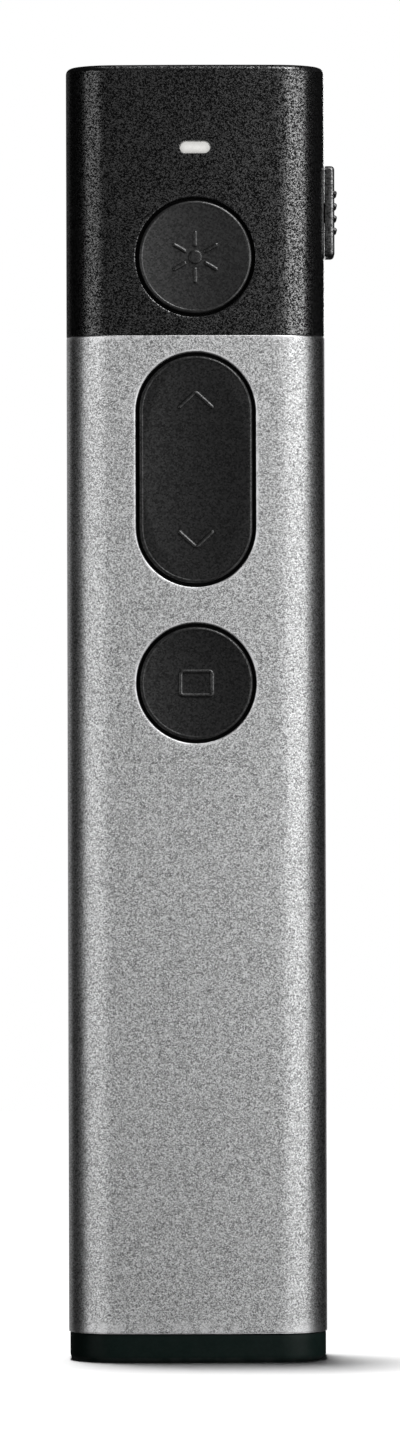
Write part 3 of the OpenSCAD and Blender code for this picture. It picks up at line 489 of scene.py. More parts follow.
# The sleeve: a bead-blasted, anodised aluminium tube. Bands are (from, to, rows) round each hole. In every
# look, grain is (size, contrast, relief) and drift is (size, lowest and highest roughness).
sleeve = {
    "bottom": 2.92, "top": 102.9, "wall": 1.2, "rim": 0.12, "topRim": 0.18, "rockerLip": 0.18, "menuLip": 0.18,
    "rocker": roundedShape(0, 89.4, 0, 5.75, 6.0), "rockerBand": (76.4, 102.3, 43),
    "menu": roundedShape(0, 68.0, 0, 0, 6.0), "menuBand": (60.8, 75.2, 25),
    "lowRows": 41, "midRows": 3, "topRows": 2, "brightEdgeReach": 0.4,  # the bright edges fade over this from each end; their brightness is worn metal and in part a painted highlight
    # Bright bare-metal edges: the edge colour is near white and the wear is full. This is partly real wear on the
    # chamfers and partly a painted highlight on the key holes' lips and the tube's ends.
    "look": {"colour": (0.56, 0.563, 0.567), "metallic": 1.0, "grain": (0.1, 0.72, 0.0045),
             "drift": (14.0, 0.32, 0.36), "wornColour": (0.95, 0.95, 0.96), "wear": 1.0, "grainRough": 0.02},
}
sleeveMetal = grainedMaterial("blastedAluminium", sleeve["look"])


# Rows of a tube's two ends as (z, inset): over the top from the outer skin, and round the bottom from the inner.
def tubeEnds(z0, z1, wall, rim, topRim):
    inset, drop = quarter(topRim, 5)
    top = [(z1 + topRim - d, i) for i, d in zip(inset[1:], drop[1:])]
    top += [(z1 + topRim, wall - topRim), (z1 + topRim * 0.6, wall), (z1, wall)]
    inset, drop = quarter(rim, 3)
    bottom = [(z0 - rim * 0.6, wall), (z0 - rim, wall - rim)]
    bottom += [(z0 - rim, i) for i in inset[::-1]]
    bottom += [(z0 - rim + d, i) for i, d in zip(inset[::-1][1:], drop[::-1][1:])]
    return array(top), array(bottom)


# The tube: its profile carried round the back, the rounded ends of its front, and the holed front.
def buildSleeve():
    wall = sleeve["wall"]
    z0, z1 = sleeve["bottom"] + sleeve["rim"], sleeve["top"] - sleeve["topRim"]
    z, bands, walls = holedFront(sleeve, "menu", "rocker", z0, z1)
    top, bottom = tubeEnds(z0, z1, wall, sleeve["rim"], sleeve["topRim"])
    profile = join([stack([z, 0 * z], -1), top, stack([z[::-1], 0 * z + wall], -1)[1:], bottom])
    # The bright edges at both ends, partly worn metal and partly a painted highlight, fade out towards the middle.
    toEnd = np.minimum(np.abs(profile[:, 0] - z1 - 0.1), np.abs(profile[:, 0] - z0 + 0.1))
    edge = np.clip(1 - toEnd / sleeve["brightEdgeReach"], 0, 1)
    grids = [{"points": roundTheBack(profile[:, 0], profile[:, 1]), "edge": edge[:, None]}]
    for ends in (np.vstack([[z1, 0], top]), np.vstack([[z0, wall], bottom])):
        grids.append({"points": frontBand(ends[:, 0], ends[:, 1]), "edge": 0.8})
    return addPiece("metalSleeve", grids + bands + walls, sleeveMetal, "housing", ["sleeve"])


buildSleeve()
print("sleeve made")

# The head: a black moulded shell with a sparked grain. Its slot lets the power knob's stem through the side.
head = {
    "bottom": 102.9, "top": 130.0, "wall": 1.2, "roof": 1.5, "edge": 0.6, "rim": 0.08,
    "laser": roundedShape(0, 110.7, 0, 0, 6.0), "laserBand": (103.7, 117.8, 25), "laserLip": 0.14,
    "light": roundedShape(0, 121.7, 0.925, 0, 0.61, near=0.2, steps=8), "lightBand": (120.2, 123.2, 7),
    "lightLip": 0.05, "lowRows": 3, "midRows": 4, "topRows": 9,
    "slot": roundedShape(0.45, 114.6, 0.7, 1.9, 0.2, near=0.15, steps=4), "slotZone": (111.6, 117.7),
    "slotLip": 0.08,
    "beam": (0.0, 2.9), "windowR": 2.04, "beamR": 1.5, "windowDepth": 0.64,
    "look": {"colour": (0.005, 0.005, 0.0052), "grain": (0.1, 0.45, 0.007), "drift": (10.0, 0.25, 0.3),
             "specular": 0.1, "skin": (0.62, 2.3), "skinRough": 0.27, "wornColour": (0.06, 0.06, 0.062),
             "wear": 0.3, "grainRough": 0.03},
}
headPlastic = grainedMaterial("sparkedBlackPlastic", head["look"])


# The wall of the right side's flat: x = side - inset.
def sideWall(u, v, inset):
    u, v, inset = np.broadcast_arrays(u, v, inset)
    return stack([section["side"] - inset, u, v], -1)


# A closed loop drawn in to a circle: P = (1 - w) circle + w loop, with the circle's points at the angles that
# the loop's points have round its centre.
def loopToCircle(loop, centre, radius, z, steps):
    away = loop[:, :2] - centre
    angle = np.arctan2(away[:, 1], away[:, 0])
    ring = stack([centre[0] + radius * cos(angle), centre[1] + radius * sin(angle)], -1)
    w = linspace(1, 0, steps + 1)[:, None, None] ** 1.2
    flat = ring * (1 - w) + loop[None, :, :2] * w
    return join([flat, np.full(flat.shape[:2] + (1,), z)], -1), angle


# The shell: outer and inner skins round the back less the slot's quads, front bands and holed walls, the lower
# rim, and a roof that runs in to the laser window's seat and on to the beam's hole.
def buildHead():
    wall, rim, top, ceilingZ = head["wall"], head["rim"], head["top"], head["top"] - head["roof"]
    z0, z1 = head["bottom"] + rim, top - head["edge"]
    z, bands, walls = holedFront(head, "laser", "light", z0, z1)
    insets, drops = quarter(head["edge"], 8)
    edgeRows = stack([top - drops, insets], -1)
    outer = join([stack([z, 0 * z], -1), edgeRows[1:]])
    inner = stack([join([[ceilingZ], z[::-1]]), np.full(len(z) + 1, wall)], -1)
    slotZ = z[(z > head["slotZone"][0]) & (z < head["slotZone"][1])]
    grids = []
    for skin, edge in ((outer, (0.5 * (outer[:, 1] > 0))[:, None]), (inner, 0.0)):
        inSlot = (skin[:, 0] >= slotZ[0]) & (skin[:, 0] <= slotZ[-1])
        points = roundTheBack(skin[:, 0], skin[:, 1])
        keep = np.ones((len(skin) - 1, points.shape[1] - 1), bool)
        keep[inSlot[1:] & inSlot[:-1], flatFirst:flatFirst + section["sideCols"]] = False
        grids.append({"points": points, "keep": keep, "edge": edge})
    flatY = linspace(-cornerY, cornerY, section["sideCols"] + 1)
    grids.append(holedWall(head["slot"], flatY, slotZ, sideWall, wall, head["slotLip"]))
    foot = array([(z0, 0.0)] + [(z0 - rim + d, i) for i, d in list(zip(*quarter(rim, 3)))[1:]]
                 + [(z0 - rim, wall - rim), (z0, wall)])
    grids += [{"points": skin(foot[:, 0], foot[:, 1]), "edge": 0.6} for skin in (roundTheBack, frontBand)]
    grids += [*bands, {"points": frontBand(edgeRows[:, 0], edgeRows[:, 1]), "edge": 0.5},
              {"points": frontBand(array([z1, ceilingZ]), wall)}, *walls]
    outside, inside = wholeLoop(top, head["edge"])[0], wholeLoop(ceilingZ, wall)[0]
    seatR, seatZ, (beamX, beamY) = head["windowR"], top - head["windowDepth"], head["beam"]
    roof, angle = loopToCircle(outside, head["beam"], seatR + 0.12, top, 8)
    rings = [(seatR + 0.12, top, 0.6), (seatR + 0.03, top - 0.03, 1.0), (seatR, top - 0.12, 0.6),
             (seatR, seatZ, 0.0), (head["beamR"], seatZ, 0.0), (head["beamR"], ceilingZ, 0.0)]
    tube = array([stack([beamX + r * cos(angle), beamY + r * sin(angle), np.full(len(angle), h)], -1)
                  for r, h, e in rings])
    w = linspace(0, 1, 7)[:, None, None]
    grids += [{"points": roof}, {"points": tube, "edge": array([[e] for r, h, e in rings])},
              {"points": tube[-1][None] * (1 - w) + inside[None] * w}]
    return addPiece("headShell", grids, headPlastic, "housing", ["head_shell"])


buildHead()
print("head made")

# The keys: satin black caps with a thin raised rim and a shallow dish, on stems and snap legs.
keys = {
    "front": -7.5, "under": -6.2, "r": 5.65, "halfLength": 5.75, "edgeRound": 0.24, "rimWidth": 0.26,
    "step": 0.04, "stepWidth": 0.12, "dish": 0.36, "laserZ": 110.7, "rockerZ": 89.4, "menuZ": 68.0,
    "signHeight": 0.2, "line": 0.46, "foot": -6.3,  # stems, legs and nubs start in the cap, at foot
    "stem": (1.3, -3.8, -3.7), "nub": (1.2, -3.85, -3.76), "nubApart": 7,  # radius, shoulder and end
    "legs": ((3.5, 0.35, -6.3, -3.05), (3.675, 0.5, -3.62, -3.1)),  # leg and barb: x, half width, from, to
    "lug": (1.95, -5.3, -4.9, -4.75), "halfThick": 0.85,  # half width, and the heights of its bevelled end
    "look": {"colour": (0.0083, 0.0083, 0.0085), "grain": (0.15, 0.1, 0.0012), "drift": (5.0, 0.36, 0.42),
             "specular": 0.04, "skin": (0.98, 0.45), "skinRough": 0.36, "wornColour": (0.09, 0.09, 0.09),
             "wear": 0.25, "grainRough": 0.01},
}
keyPlastic = grainedMaterial("satinBlackKey", keys["look"])
rubbedPlastic = grainedMaterial("rubbedBlackKey", {**keys["look"], "skin": (0.56, 0.35), "drift": (4.0, 0.36, 0.42)})


# Depth of a key's face below its rim at (x, z) from its middle: step + (dish - step) (1 - rho^2), where rho is
# 1 at the rim's foot, and along a long key the bowl is stretched to the key's length.
def bowlDepth(x, z, halfLength):
    reach = keys["r"] - keys["rimWidth"] - keys["stepWidth"]
    rho = np.minimum(np.hypot(x, z * reach / (reach + halfLength)) / reach, 1.0)
    return keys["step"] + (keys["dish"] - keys["step"]) * (1 - rho ** 2)


# A cap as rings: its underside, wall, rounded edge, rim and step, and then the bowl, whose depth is bowlDepth.
def keyGrids(z, halfLength):
    r, front, under, rimEnd, stepWidth = (keys[k] for k in ("r", "front", "under", "rimWidth", "stepWidth"))
    rings = [(1, -r, under), (1, -r / 2, under), (1, -0.25, under), (1, -0.12, under), (1, -0.03, under - 0.04),
             (1, 0, under - 0.12), (1, 0, (front + under) / 2)]
    rings += [(1, -i, front + d) for i, d in zip(*quarter(keys["edgeRound"], 6))]
    rings += [(1, -rimEnd, front), (1, -rimEnd - 0.02, front + 0.008)]
    w = linspace(0, 1, 5)[1:]
    drop = keys["step"] * (3 * w ** 2 - 2 * w ** 3)
    rings += [(1, -rimEnd - 0.02 - (stepWidth - 0.02) * a, front + max(d, 0.008)) for a, d in zip(w, drop)]
    face = linspace(1, 0, 25)[1:]
    rings += [(1, (r - rimEnd - stepWidth) * rho - r, front) for rho in face]
    edges = [0.0] * 7 + [0.5] + [1.0] * 5 + [0.7, 0.6, 0.4] + [0.0] * (4 + len(face))
    side = max(24, int(round(halfLength * 8)) + 24)
    block = ringBlock(roundedShape(0, z, 0, halfLength, r), rings, onFront, (side, 24, side, 24), edges)
    flat = block["points"][-len(face):]
    flat[..., 1] = front + bowlDepth(flat[..., 0], flat[..., 2] - z, halfLength)
    return [block]


# A raised line: half an ellipse of width 2 w and height h, offset = w cos a, lift = h sin a, carried along the
# path; past an open end at distance d it shrinks by sqrt(1 - (d / w)^2), which closes it.
def raisedLine(path, closed, centreZ, halfLength):
    path = np.asarray(path, float)
    w, h = keys["line"] / 2, keys["signHeight"]
    if closed:
        ahead = np.roll(path, -1, 0) - np.roll(path, 1, 0)
        size = np.ones(len(path))
    else:
        ahead = np.gradient(path, axis=0)
        first, last = -ahead[0] / np.linalg.norm(ahead[0]), ahead[-1] / np.linalg.norm(ahead[-1])
        d = w * sin(linspace(0, pi / 2, 6))[1:]
        path = join([path[0] + first * d[::-1, None], path, path[-1] + last * d[:, None]])
        ahead = join([np.repeat(-first[None], 5, 0), ahead, np.repeat(last[None], 5, 0)])
        tip = np.sqrt(np.maximum(1 - (d / w) ** 2, 0))
        size = join([tip[::-1], np.ones(len(path) - 10), tip])
    ahead = ahead / np.linalg.norm(ahead, axis=1)[:, None]
    across = stack([-ahead[:, 1], ahead[:, 0]], -1)
    a = linspace(0, pi, 13)
    offset, lift = cos(a) * w, sin(a) * h
    offset = join([offset, offset[::-1][1:]])
    lift = join([lift, 0 * lift[1:] - 0.06])
    flat = path[:, None] + across[:, None] * (offset[None, :, None] * size[:, None, None])
    floor = keys["front"] + bowlDepth(flat[..., 0], flat[..., 1], halfLength)
    y = floor - lift[None] * np.where(lift > 0, size[:, None], 1.0)
    points = stack([flat[..., 0], y, flat[..., 1] + centreZ], -1)
    if closed:
        points = join([points, points[:1]], 0)
    return {"points": closeRows(points), "edge": 0.0}


# Straight lines between corners, with each corner turned on a small arc, and points at most pathStep apart.
def bentPath(corners, radius, closed):
    corners = [array(c, float) for c in corners]
    count, out = len(corners), []
    for k, here in enumerate(corners):
        if not closed and k in (0, count - 1):
            out.append(here[None])
            continue
        before, after = corners[k - 1] - here, corners[(k + 1) % count] - here
        before, after = before / np.linalg.norm(before), after / np.linalg.norm(after)
        half = math.acos(np.clip(before @ after, -1, 1)) / 2
        bisector = (before + after) / np.linalg.norm(before + after)
        centre = here + bisector * radius / math.sin(half)
        t = linspace(-1, 1, 9)[:, None] * (pi / 2 - half)
        side = array([-bisector[1], bisector[0]]) * math.copysign(1, before @ [-bisector[1], bisector[0]])
        arc = centre - radius * (cos(t) * bisector + sin(t) * side)
        if np.linalg.norm(arc[0] - here - before) > np.linalg.norm(arc[-1] - here - before):
            arc = arc[::-1]
        out.append(arc)
    path = join(out)
    if closed:
        path = join([path, path[:1]])
    length = join([[0], np.cumsum(np.linalg.norm(np.diff(path, axis=0), axis=1))])
    even = np.unique(join([length, np.arange(0, length[-1], signs["pathStep"])]))
    even = even[join([[True], np.diff(even) > 1e-6])]
    path = stack([np.interp(even, length, path[:, k]) for k in (0, 1)], -1)
    return path[:-1] if closed else path


# A round post under a key, with a chamfered end.
def postAt(z, r, shoulder, end):
    foot = keys["foot"]
    rings = [(1, -r, foot), (1, 0, foot), (1, 0, shoulder), (1, -0.1, end), (1, -r, end)]
    return ringBlock(roundedShape(0, z, 0, 0, r), rings, onFront, 8)


# The three caps, with a stem and two snap legs under each round one, and a lug and two nubs under the rocker.
def buildKeys():
    for name, z, body, node, plastic in (
            ("laserKey", keys["laserZ"], "laser_button", "laser_keycap", keyPlastic),
            ("menuKey", keys["menuZ"], "menu_button", "menu_keycap", rubbedPlastic)):
        grids = keyGrids(z, 0.0)
        grids.append(postAt(z, *keys["stem"]))
        for side in (-1, 1):
            for x, halfX, low, high in keys["legs"]:
                shape = roundedShape(side * x, z, halfX, keys["halfThick"], smallR)
                grids.append(ringBlock(shape, boxRings(low, high), onFront, 4))
        addPiece(name, grids, plastic, body, [node])
    foot, z, apart, (halfX, shoulder, bevel, end) = (keys[k] for k in ("foot", "rockerZ", "nubApart", "lug"))
    grids = keyGrids(z, keys["halfLength"])
    lug = [(0, -smallR, foot), (1, 0, foot), (1, 0, shoulder), (1, -smallR, bevel), (0, -smallR, end)]
    grids.append(ringBlock(roundedShape(0, z, halfX, keys["halfThick"], smallR), lug, onFront, 4))
    grids += [postAt(z + way * apart, *keys["nub"]) for way in (-1, 1)]
    addPiece("rockerKey", grids, rubbedPlastic, "rocker", ["rocker_keycap"])


# The raised signs: a sun on the laser key, a chevron at each end of the rocker, a screen on the menu key.
signs = {
    "sunR": 0.72, "rayFrom": 1.22, "rayTo": 2.4, "screenX": 1.58, "screenZ": 1.19, "screenCorner": 0.32,
    "chevronX": 1.62, "chevronFoot": 6.27, "chevronTip": 7.78, "chevronRound": 0.3, "pathStep": 0.12,
}


# Rays at every 60 degrees round a low disc, whose edge is a quarter round; and raised lines along bent paths.
def buildSigns():
    grids, r, lift = [], signs["sunR"], keys["signHeight"]
    for angle in np.radians(range(30, 390, 60)):
        path = array([cos(angle), sin(angle)]) * linspace(signs["rayFrom"], signs["rayTo"], 14)[:, None]
        grids.append(raisedLine(path, False, keys["laserZ"], 0.0))
    t = linspace(0, pi / 2, 8)
    low = keys["front"] + keys["dish"]
    rings = [(1, -r, low + 0.06), (1, 0, low + 0.06)]
    rings += [(1, -0.2 * (1 - cos(a)), low - sin(a) * lift) for a in t]
    rings += [(1, -r * s, low - lift) for s in (0.4, 0.7, 1.0)]
    grids.append(ringBlock(roundedShape(0, keys["laserZ"], 0, 0, r), rings, onFront, 12))
    addPiece("sunSign", grids, keyPlastic, "laser_button")
    grids, x, foot = [], signs["chevronX"], signs["chevronFoot"]
    for way in (1, -1):
        path = bentPath([(-x, way * foot), (0, way * signs["chevronTip"]), (x, way * foot)],
                        signs["chevronRound"], False)
        grids.append(raisedLine(path, False, keys["rockerZ"], keys["halfLength"]))
    addPiece("pageSigns", grids, keyPlastic, "rocker")
    x, z = signs["screenX"], signs["screenZ"]
    path = bentPath([(x, z), (-x, z), (-x, -z), (x, -z)], signs["screenCorner"], True)
    grids = [raisedLine(path, True, keys["menuZ"], 0.0)]
    addPiece("screenSign", grids, keyPlastic, "menu_button")


buildKeys()
buildSigns()
print("keys and signs made")

# The power knob: a small black block with four round ribs on the right side.
knob = {
    "inside": 13.08, "face": 14.05, "centreZ": 115.6, "halfWidth": 2.2, "halfLength": 4.6, "corner": 0.4,
    "edge": 0.38, "ribs": 4, "ribR": 0.25, "ribPitch": 1.24, "ribHalf": 1.9,
    "stemY": 0.45, "stem": ((0.8, 1.0, 11.7, 13.12), (1.3, 1.5, 10.8, 11.72)),  # stem, foot: half sizes, from, to
    "look": {"colour": (0.0165, 0.0165, 0.0168), "grain": (0.14, 0.4, 0.008), "drift": (4.0, 0.42, 0.5),
             "wornColour": (0.03, 0.03, 0.03), "wear": 0.3, "grainRough": 0.02, "specular": 0.04,
             "skin": (1.8, 1.6), "skinRough": 0.28},
}
knobPlastic = grainedMaterial("grainedBlackKnob", knob["look"])


# The block as rings with a rounded edge, its ribs as bars x = face + r cos a, z = centre + r sin a that a
# quarter ball closes at each end, and its stem and foot through the slot.
def buildKnob():
    r, base, face, ribR = knob["corner"], knob["inside"], knob["face"], knob["ribR"]
    shape = roundedShape(0, knob["centreZ"], knob["halfWidth"] - r, knob["halfLength"] - r, r)
    rings = [(0, -r, base), (1, -0.1, base), (1, 0, base + 0.08)]
    rings += [(1, -i, face - d) for i, d in zip(*quarter(knob["edge"], 4))]
    rings += [(1, -r, face), (0.6, -r, face), (0, -r, face)]
    edges = [0.0, 0.0, 0.4, 0.6, 1.0, 1.0, 1.0, 0.7, 0.2, 0.0, 0.0]
    grids = [ringBlock(shape, rings, onSide, (28, 14, 28, 14), edges)]
    t = linspace(-pi / 2, pi / 2, 9)
    run = join([-knob["ribHalf"] + ribR * sin(t[:5]), knob["ribHalf"] + ribR * sin(t[4:])])
    size = join([cos(t[:5]), cos(t[4:])])[:, None] * ribR
    a = linspace(0, 2 * pi, 25)
    for k in range(knob["ribs"]):
        z = knob["centreZ"] + (k - (knob["ribs"] - 1) / 2) * knob["ribPitch"]
        bar = stack([face + size * cos(a), run[:, None] + 0 * a, z + size * sin(a)], -1)
        grids.append({"points": bar, "edge": np.clip(cos(a), 0, 1)[None, :] * 0.6})
    for halfU, halfV, low, high in knob["stem"]:
        part = roundedShape(knob["stemY"], knob["centreZ"], halfU - smallR, halfV - smallR, smallR)
        grids.append(ringBlock(part, boxRings(low, high), onSide, 6))
    return addPiece("powerKnob", grids, knobPlastic, "power_slider", ["power_knob"])


buildKnob()
print("knob made")

# The end cap: smooth black plastic, with openings for the socket, the receiver and two screws. Each opening's
# walls are (inset, z) from below the cap to above its floor; the screws' are stepped for their heads.
straight, stepped = [(0, -1), (0, 4)], [(0, -1), (0, 1.1), (-0.76, 1.1), (-0.76, 4)]
endCap = {
    "inset": 0.13, "height": 2.8, "floor": 1.6, "edge": 0.7, "innerInset": 1.2, "notchR": 3.6, "notchDepth": 1.0,
    "openings": [(roundedShape(0, -2.98, 2.99, 0, 1.68), straight), (roundedShape(0, 2.8, 6.1, 1.5, 1.0), straight),
                 (roundedShape(-9.75, 1.4, 0, 0, 1.6), stepped), (roundedShape(9.75, 1.4, 0, 0, 1.6), stepped)],
    "look": {"colour": (0.0075, 0.0155, 0.0133), "grain": (0.2, 0.12, 0.0015), "drift": (6.0, 0.3, 0.4),
             "wornColour": (0.09, 0.09, 0.09), "wear": 0.35, "grainRough": 0.01, "specular": 0.11},
}
capPlastic = grainedMaterial("smoothBlackCap", endCap["look"])


# The cap as loops of the section from the middle of its base, up its side and down to the middle of its floor,
# less a block for each opening and a lying cylinder for the nail notch.
def buildCap():
    inset, height, floor, side = (endCap[k] for k in ("inset", "height", "floor", "edge"))
    rows = [(d, inset + i) for i, d in list(zip(*quarter(side, 8)))[:0:-1]]
    rows += [(side, inset), (1.4, inset), (2.1, inset), (height - 0.08, inset), (height - 0.02, inset + 0.02),
             (height, inset + 0.08), (height, endCap["innerInset"]), (floor, endCap["innerInset"])]
    loops = wholeLoop(*array(rows).T)
    bottom, top = loops[:1].copy(), loops[-1:].copy()
    bottom[..., :2], top[..., :2] = 0, 0
    edge = array([0, 0] + [0.6 if z > height - 0.1 or z < 0.4 else 0.1 for z, i in rows])
    grid = {"points": join([bottom, loops, top]), "edge": edge[:, None]}
    piece = addObject("endCapShell", makeMesh("endCapBody", [grid]))
    grids = []
    for shape, walls in endCap["openings"]:
        rings = [(0, -shape["r"], walls[0][1])] + [(1, *wall) for wall in walls] + [(0, -shape["r"], walls[-1][1])]
        grids.append(ringBlock(shape, rings, fromBelow, (10, 14, 10, 14)))
    a, notchR = linspace(0, 2 * pi, 97), endCap["notchR"]
    notch = [stack([notchR * s * cos(a), np.full(len(a), y),
                    endCap["notchDepth"] - notchR + notchR * s * sin(a)], -1)
             for s, y in ((0, 2.8), (1, 2.8), (1, 9), (0, 9))]
    grids.append({"points": array(notch)})
    blocks = [addObject("opening", makeMesh("opening", [grid])) for grid in grids]
    for block in blocks:
        cut = piece.modifiers.new("cut", "BOOLEAN")
        cut.operation, cut.object, cut.solver = "DIFFERENCE", block, "EXACT"
    graph = bpy.context.evaluated_depsgraph_get()
    done = bpy.data.meshes.new_from_object(piece.evaluated_get(graph))
    piece.modifiers.clear()
    piece.data = done
    for block in blocks:
        bpy.data.objects.remove(block)
    clean = bmesh.new()
    clean.from_mesh(done)
    bmesh.ops.remove_doubles(clean, verts=clean.verts, dist=meshing["sliver"])
    bmesh.ops.dissolve_degenerate(clean, edges=clean.edges, dist=meshing["sliver"])
    clean.to_mesh(done)
    clean.free()
    done.shade_smooth()
    done.set_sharp_from_angle(angle=math.radians(meshing["sharpAngle"]))
    done.materials.clear()
    done.materials.append(capPlastic)
    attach(piece, "housing")
    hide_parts("end_cap")
    return piece


buildCap()
print("end cap made")

# The status light: a lit clear pipe behind a pill-shaped window.
light = {"z": 121.7, "halfU": 0.925, "r": 0.52, "front": -7.46, "back": -2.3, "glow": 0.5, "flange": (0.6, -4.96, -4.4),
         "resin": (0.37, 0.37, 0.36), "tint": (1.0, 0.985, 0.96), "edgeGlow": 0.72}


# The glow fades to the window's edge with the distance from the pill's middle line, which is
# sqrt(max(|x| - halfU, 0)^2 + (z - middle)^2), and clouds slightly.
def lightMaterial():
    material, tree = newMaterial("litWindow")
    split = addNode(tree, "SeparateXYZ", {0: objectSpace(tree)}).outputs
    x = calc(tree, "SUBTRACT", calc(tree, "ABSOLUTE", split["X"]), light["halfU"] * mm)
    x, z = calc(tree, "MAXIMUM", x, 0.0), calc(tree, "SUBTRACT", split["Z"], light["z"] * mm)
    far = calc(tree, "SQRT", calc(tree, "ADD", calc(tree, "MULTIPLY", x, x), calc(tree, "MULTIPLY", z, z)))
    fade = mapped(tree, far, 0.0, light["r"] * mm, 1.0, light["edgeGlow"])
    glow = calc(tree, "MULTIPLY", fade, useDrift(tree, (0.9, 0.94, 1.03)))
    fine = useGrain(tree, (0.2, 0.1, 0.001), Colour=(*light["resin"], 1))
    shade(tree, {"Emission Color": scaled(tree, light["tint"], glow), "Emission Strength": light["glow"],
                 "Base Color": fine["Colour"], "Roughness": 0.25, "Transmission Weight": 0.3})
    return material


# The pipe as rings with a softly domed front, and the flange that holds it behind the wall.
def buildLight():
    r, front, (wide, near, behind) = light["r"], light["front"], light["flange"]
    rings = [(1, -r, light["back"]), (1, 0, light["back"]), (1, 0, -4.9), (1, 0, -6.0), (1, 0, front + 0.09)]
    rings += [(1, -inset, front + rise) for inset, rise in
              ((0.02, 0.04), (0.06, 0.015), (0.12, 0.01), (0.3, 0.005), (r, 0.0))]
    far = r + wide
    flange = [(1, -far, near), (1, 0, near), (1, 0, behind), (1, -far, behind)]
    grids = [ringBlock(roundedShape(0, light["z"], light["halfU"], 0, size), part, onFront, 12)
             for size, part in ((r, rings), (far, flange))]
    addPiece("lightWindow", grids, lightMaterial(), "housing", ["light_pipe"])


buildLight()
print("status light made")

# Finishes of the pieces inside and in the base: colour, grain and drift of a dull one; colour, contrast,
# (lowest, highest) roughness and stretch of a metal.
inside = {
    "chassis": ((0.017, 0.017, 0.018), (0.3, 0.15, 0.004), (9.0, 0.42, 0.55)),
    "switch": ((0.05, 0.05, 0.054), (0.12, 0.2, 0.003), (3.0, 0.4, 0.5)),
    "chip": ((0.022, 0.022, 0.023), (0.08, 0.5, 0.004), (2.0, 0.5, 0.62)),
    "ceramic": ((0.34, 0.27, 0.19), (0.06, 0.3, 0.002), (1.0, 0.4, 0.6)),
    "nylon": ((0.74, 0.7, 0.62), (0.2, 0.06, 0.003), (2.0, 0.4, 0.5)),
    "foam": ((0.05, 0.05, 0.052), (0.35, 0.7, 0.06), (3.0, 0.85, 0.95)),
    "steel": ((0.6, 0.6, 0.61), 0.3, (0.2, 0.38), (24000.0, 24000.0, 1200.0)),
    "brass": ((0.72, 0.52, 0.22), 0.3, (0.18, 0.34), (900.0, 900.0, 30000.0)),
    "gold": ((0.82, 0.58, 0.24), 0.2, (0.2, 0.32), (9000.0, 9000.0, 9000.0)),
    "pouch": ((0.58, 0.59, 0.61), 0.2, (0.28, 0.42), (700.0, 700.0, 500.0)),
}
# Clear pieces: material name, colour, transmission, and drift of the roughness.
glasses = {
    "redGlass": ("redLaserWindow", (0.32, 0.02, 0.02), 0.6, (1.2, 0.03, 0.09)),
    "lensGlass": ("lensGlass", (0.85, 0.9, 0.93), 0.9, (1.0, 0.01, 0.04)),
    "lampResin": ("lampResin", (0.9, 0.86, 0.6), 0.35, (0.5, 0.1, 0.2)),
}
# Which CAD pieces have each finish.
wears = {
    "sleeve": "sleeve", "head": "head_shell", "cap": "end_cap receiver_housing", "knob": "power_knob",
    "key": "laser_keycap rocker_keycap menu_keycap", "chassis": "chassis", "board": "main_board",
    "switch": "laser_switch page_up_switch page_down_switch menu_switch laser_plunger page_up_plunger "
              "page_down_plunger menu_plunger power_lever laser_holder charge_socket_tongue",
    "steel": "rocker_pin power_switch_body laser_diode radio_crystal charge_socket_shell receiver_plug "
             "receiver_clip cap_screws board_screws",
    "brass": "laser_barrel", "gold": "antenna_trace", "chip": "radio_chip charger_chip", "ceramic": "chip_parts",
    "pouch": "battery_cell", "foam": "battery_pad", "lead": "battery_leads",
    "nylon": "battery_connector receiver_tongue", "redGlass": "laser_window",
    "lensGlass": "laser_lens light_pipe", "lampResin": "status_lamp",
}


# A colour under fine grain, with roughness that drifts; returns the grain's outputs.
def dull(tree, colour, grainValues, driftValues):
    fine = useGrain(tree, grainValues, Colour=colour)
    shade(tree, {"Base Color": fine["Colour"], "Roughness": useDrift(tree, driftValues)})
    return fine


# Green solder mask: darker over the board, lighter where tracks run, which turn square corners on a grid.
def boardMaterial():
    material, tree = newMaterial("solderMask")
    turned = addNode(tree, "Mapping", {"Vector": objectSpace(tree), "Rotation": (pi / 2, 0, 0)})
    cells = addNode(tree, "TexBrick", {
        "Vector": turned.outputs["Vector"], "Scale": 260.0, "Mortar Size": 0.035, "Color1": (0.014, 0.1, 0.045, 1),
        "Color2": (0.018, 0.12, 0.055, 1), "Mortar": (0.035, 0.21, 0.1, 1)}, offset=0.5, squash=1.0)
    fine = dull(tree, cells.outputs["Color"], (0.1, 0.08, 0.002), (4.0, 0.25, 0.4))
    shade(tree, {"Normal": fine["Normal"]})
    return material


# Lead insulation: red on the left of the middle, black on the right, with faint grain.
def leadMaterial():
    material, tree = newMaterial("leadInsulation")
    split = addNode(tree, "SeparateXYZ", {0: objectSpace(tree)}).outputs
    pick = addNode(tree, "Mix", {"A": (0.32, 0.018, 0.016, 1), "B": (0.014, 0.014, 0.015, 1),
                                 "Factor": calc(tree, "GREATER_THAN", split["X"], 0.0)}, data_type="RGBA")
    fine = dull(tree, pick.outputs["Result"], (0.15, 0.1, 0.003), (1.5, 0.35, 0.5))
    shade(tree, {"Normal": fine["Normal"]})
    return material


# A clear piece, with smears that change its roughness.
def glassMaterial(name, colour, clear, smear):
    material, tree = newMaterial(name)
    dull(tree, (*colour, 1), (0.25, 0.04, 0.0004), smear)
    shade(tree, {"Transmission Weight": clear, "IOR": 1.5})
    return material


finishes = {}
for name, values in inside.items():
    if len(values) == 3:
        finishes[name] = grainedMaterial(name + "Plastic", dict(zip(("colour", "grain", "drift"), values)))
    else:
        finishes[name] = metalMaterial(name + "Metal", *values)
finishes.update({name: glassMaterial(*values) for name, values in glasses.items()})
finishes.update(board=boardMaterial(), lead=leadMaterial(), cap=capPlastic, sleeve=sleeveMetal, head=headPlastic,
                knob=knobPlastic, key=keyPlastic)
for finish, nodes in wears.items():
    for node in nodes.split():
        for holder in frame["nodes"][node].material_slots:
            holder.material = finishes[finish]
print("finishes on the inner pieces")

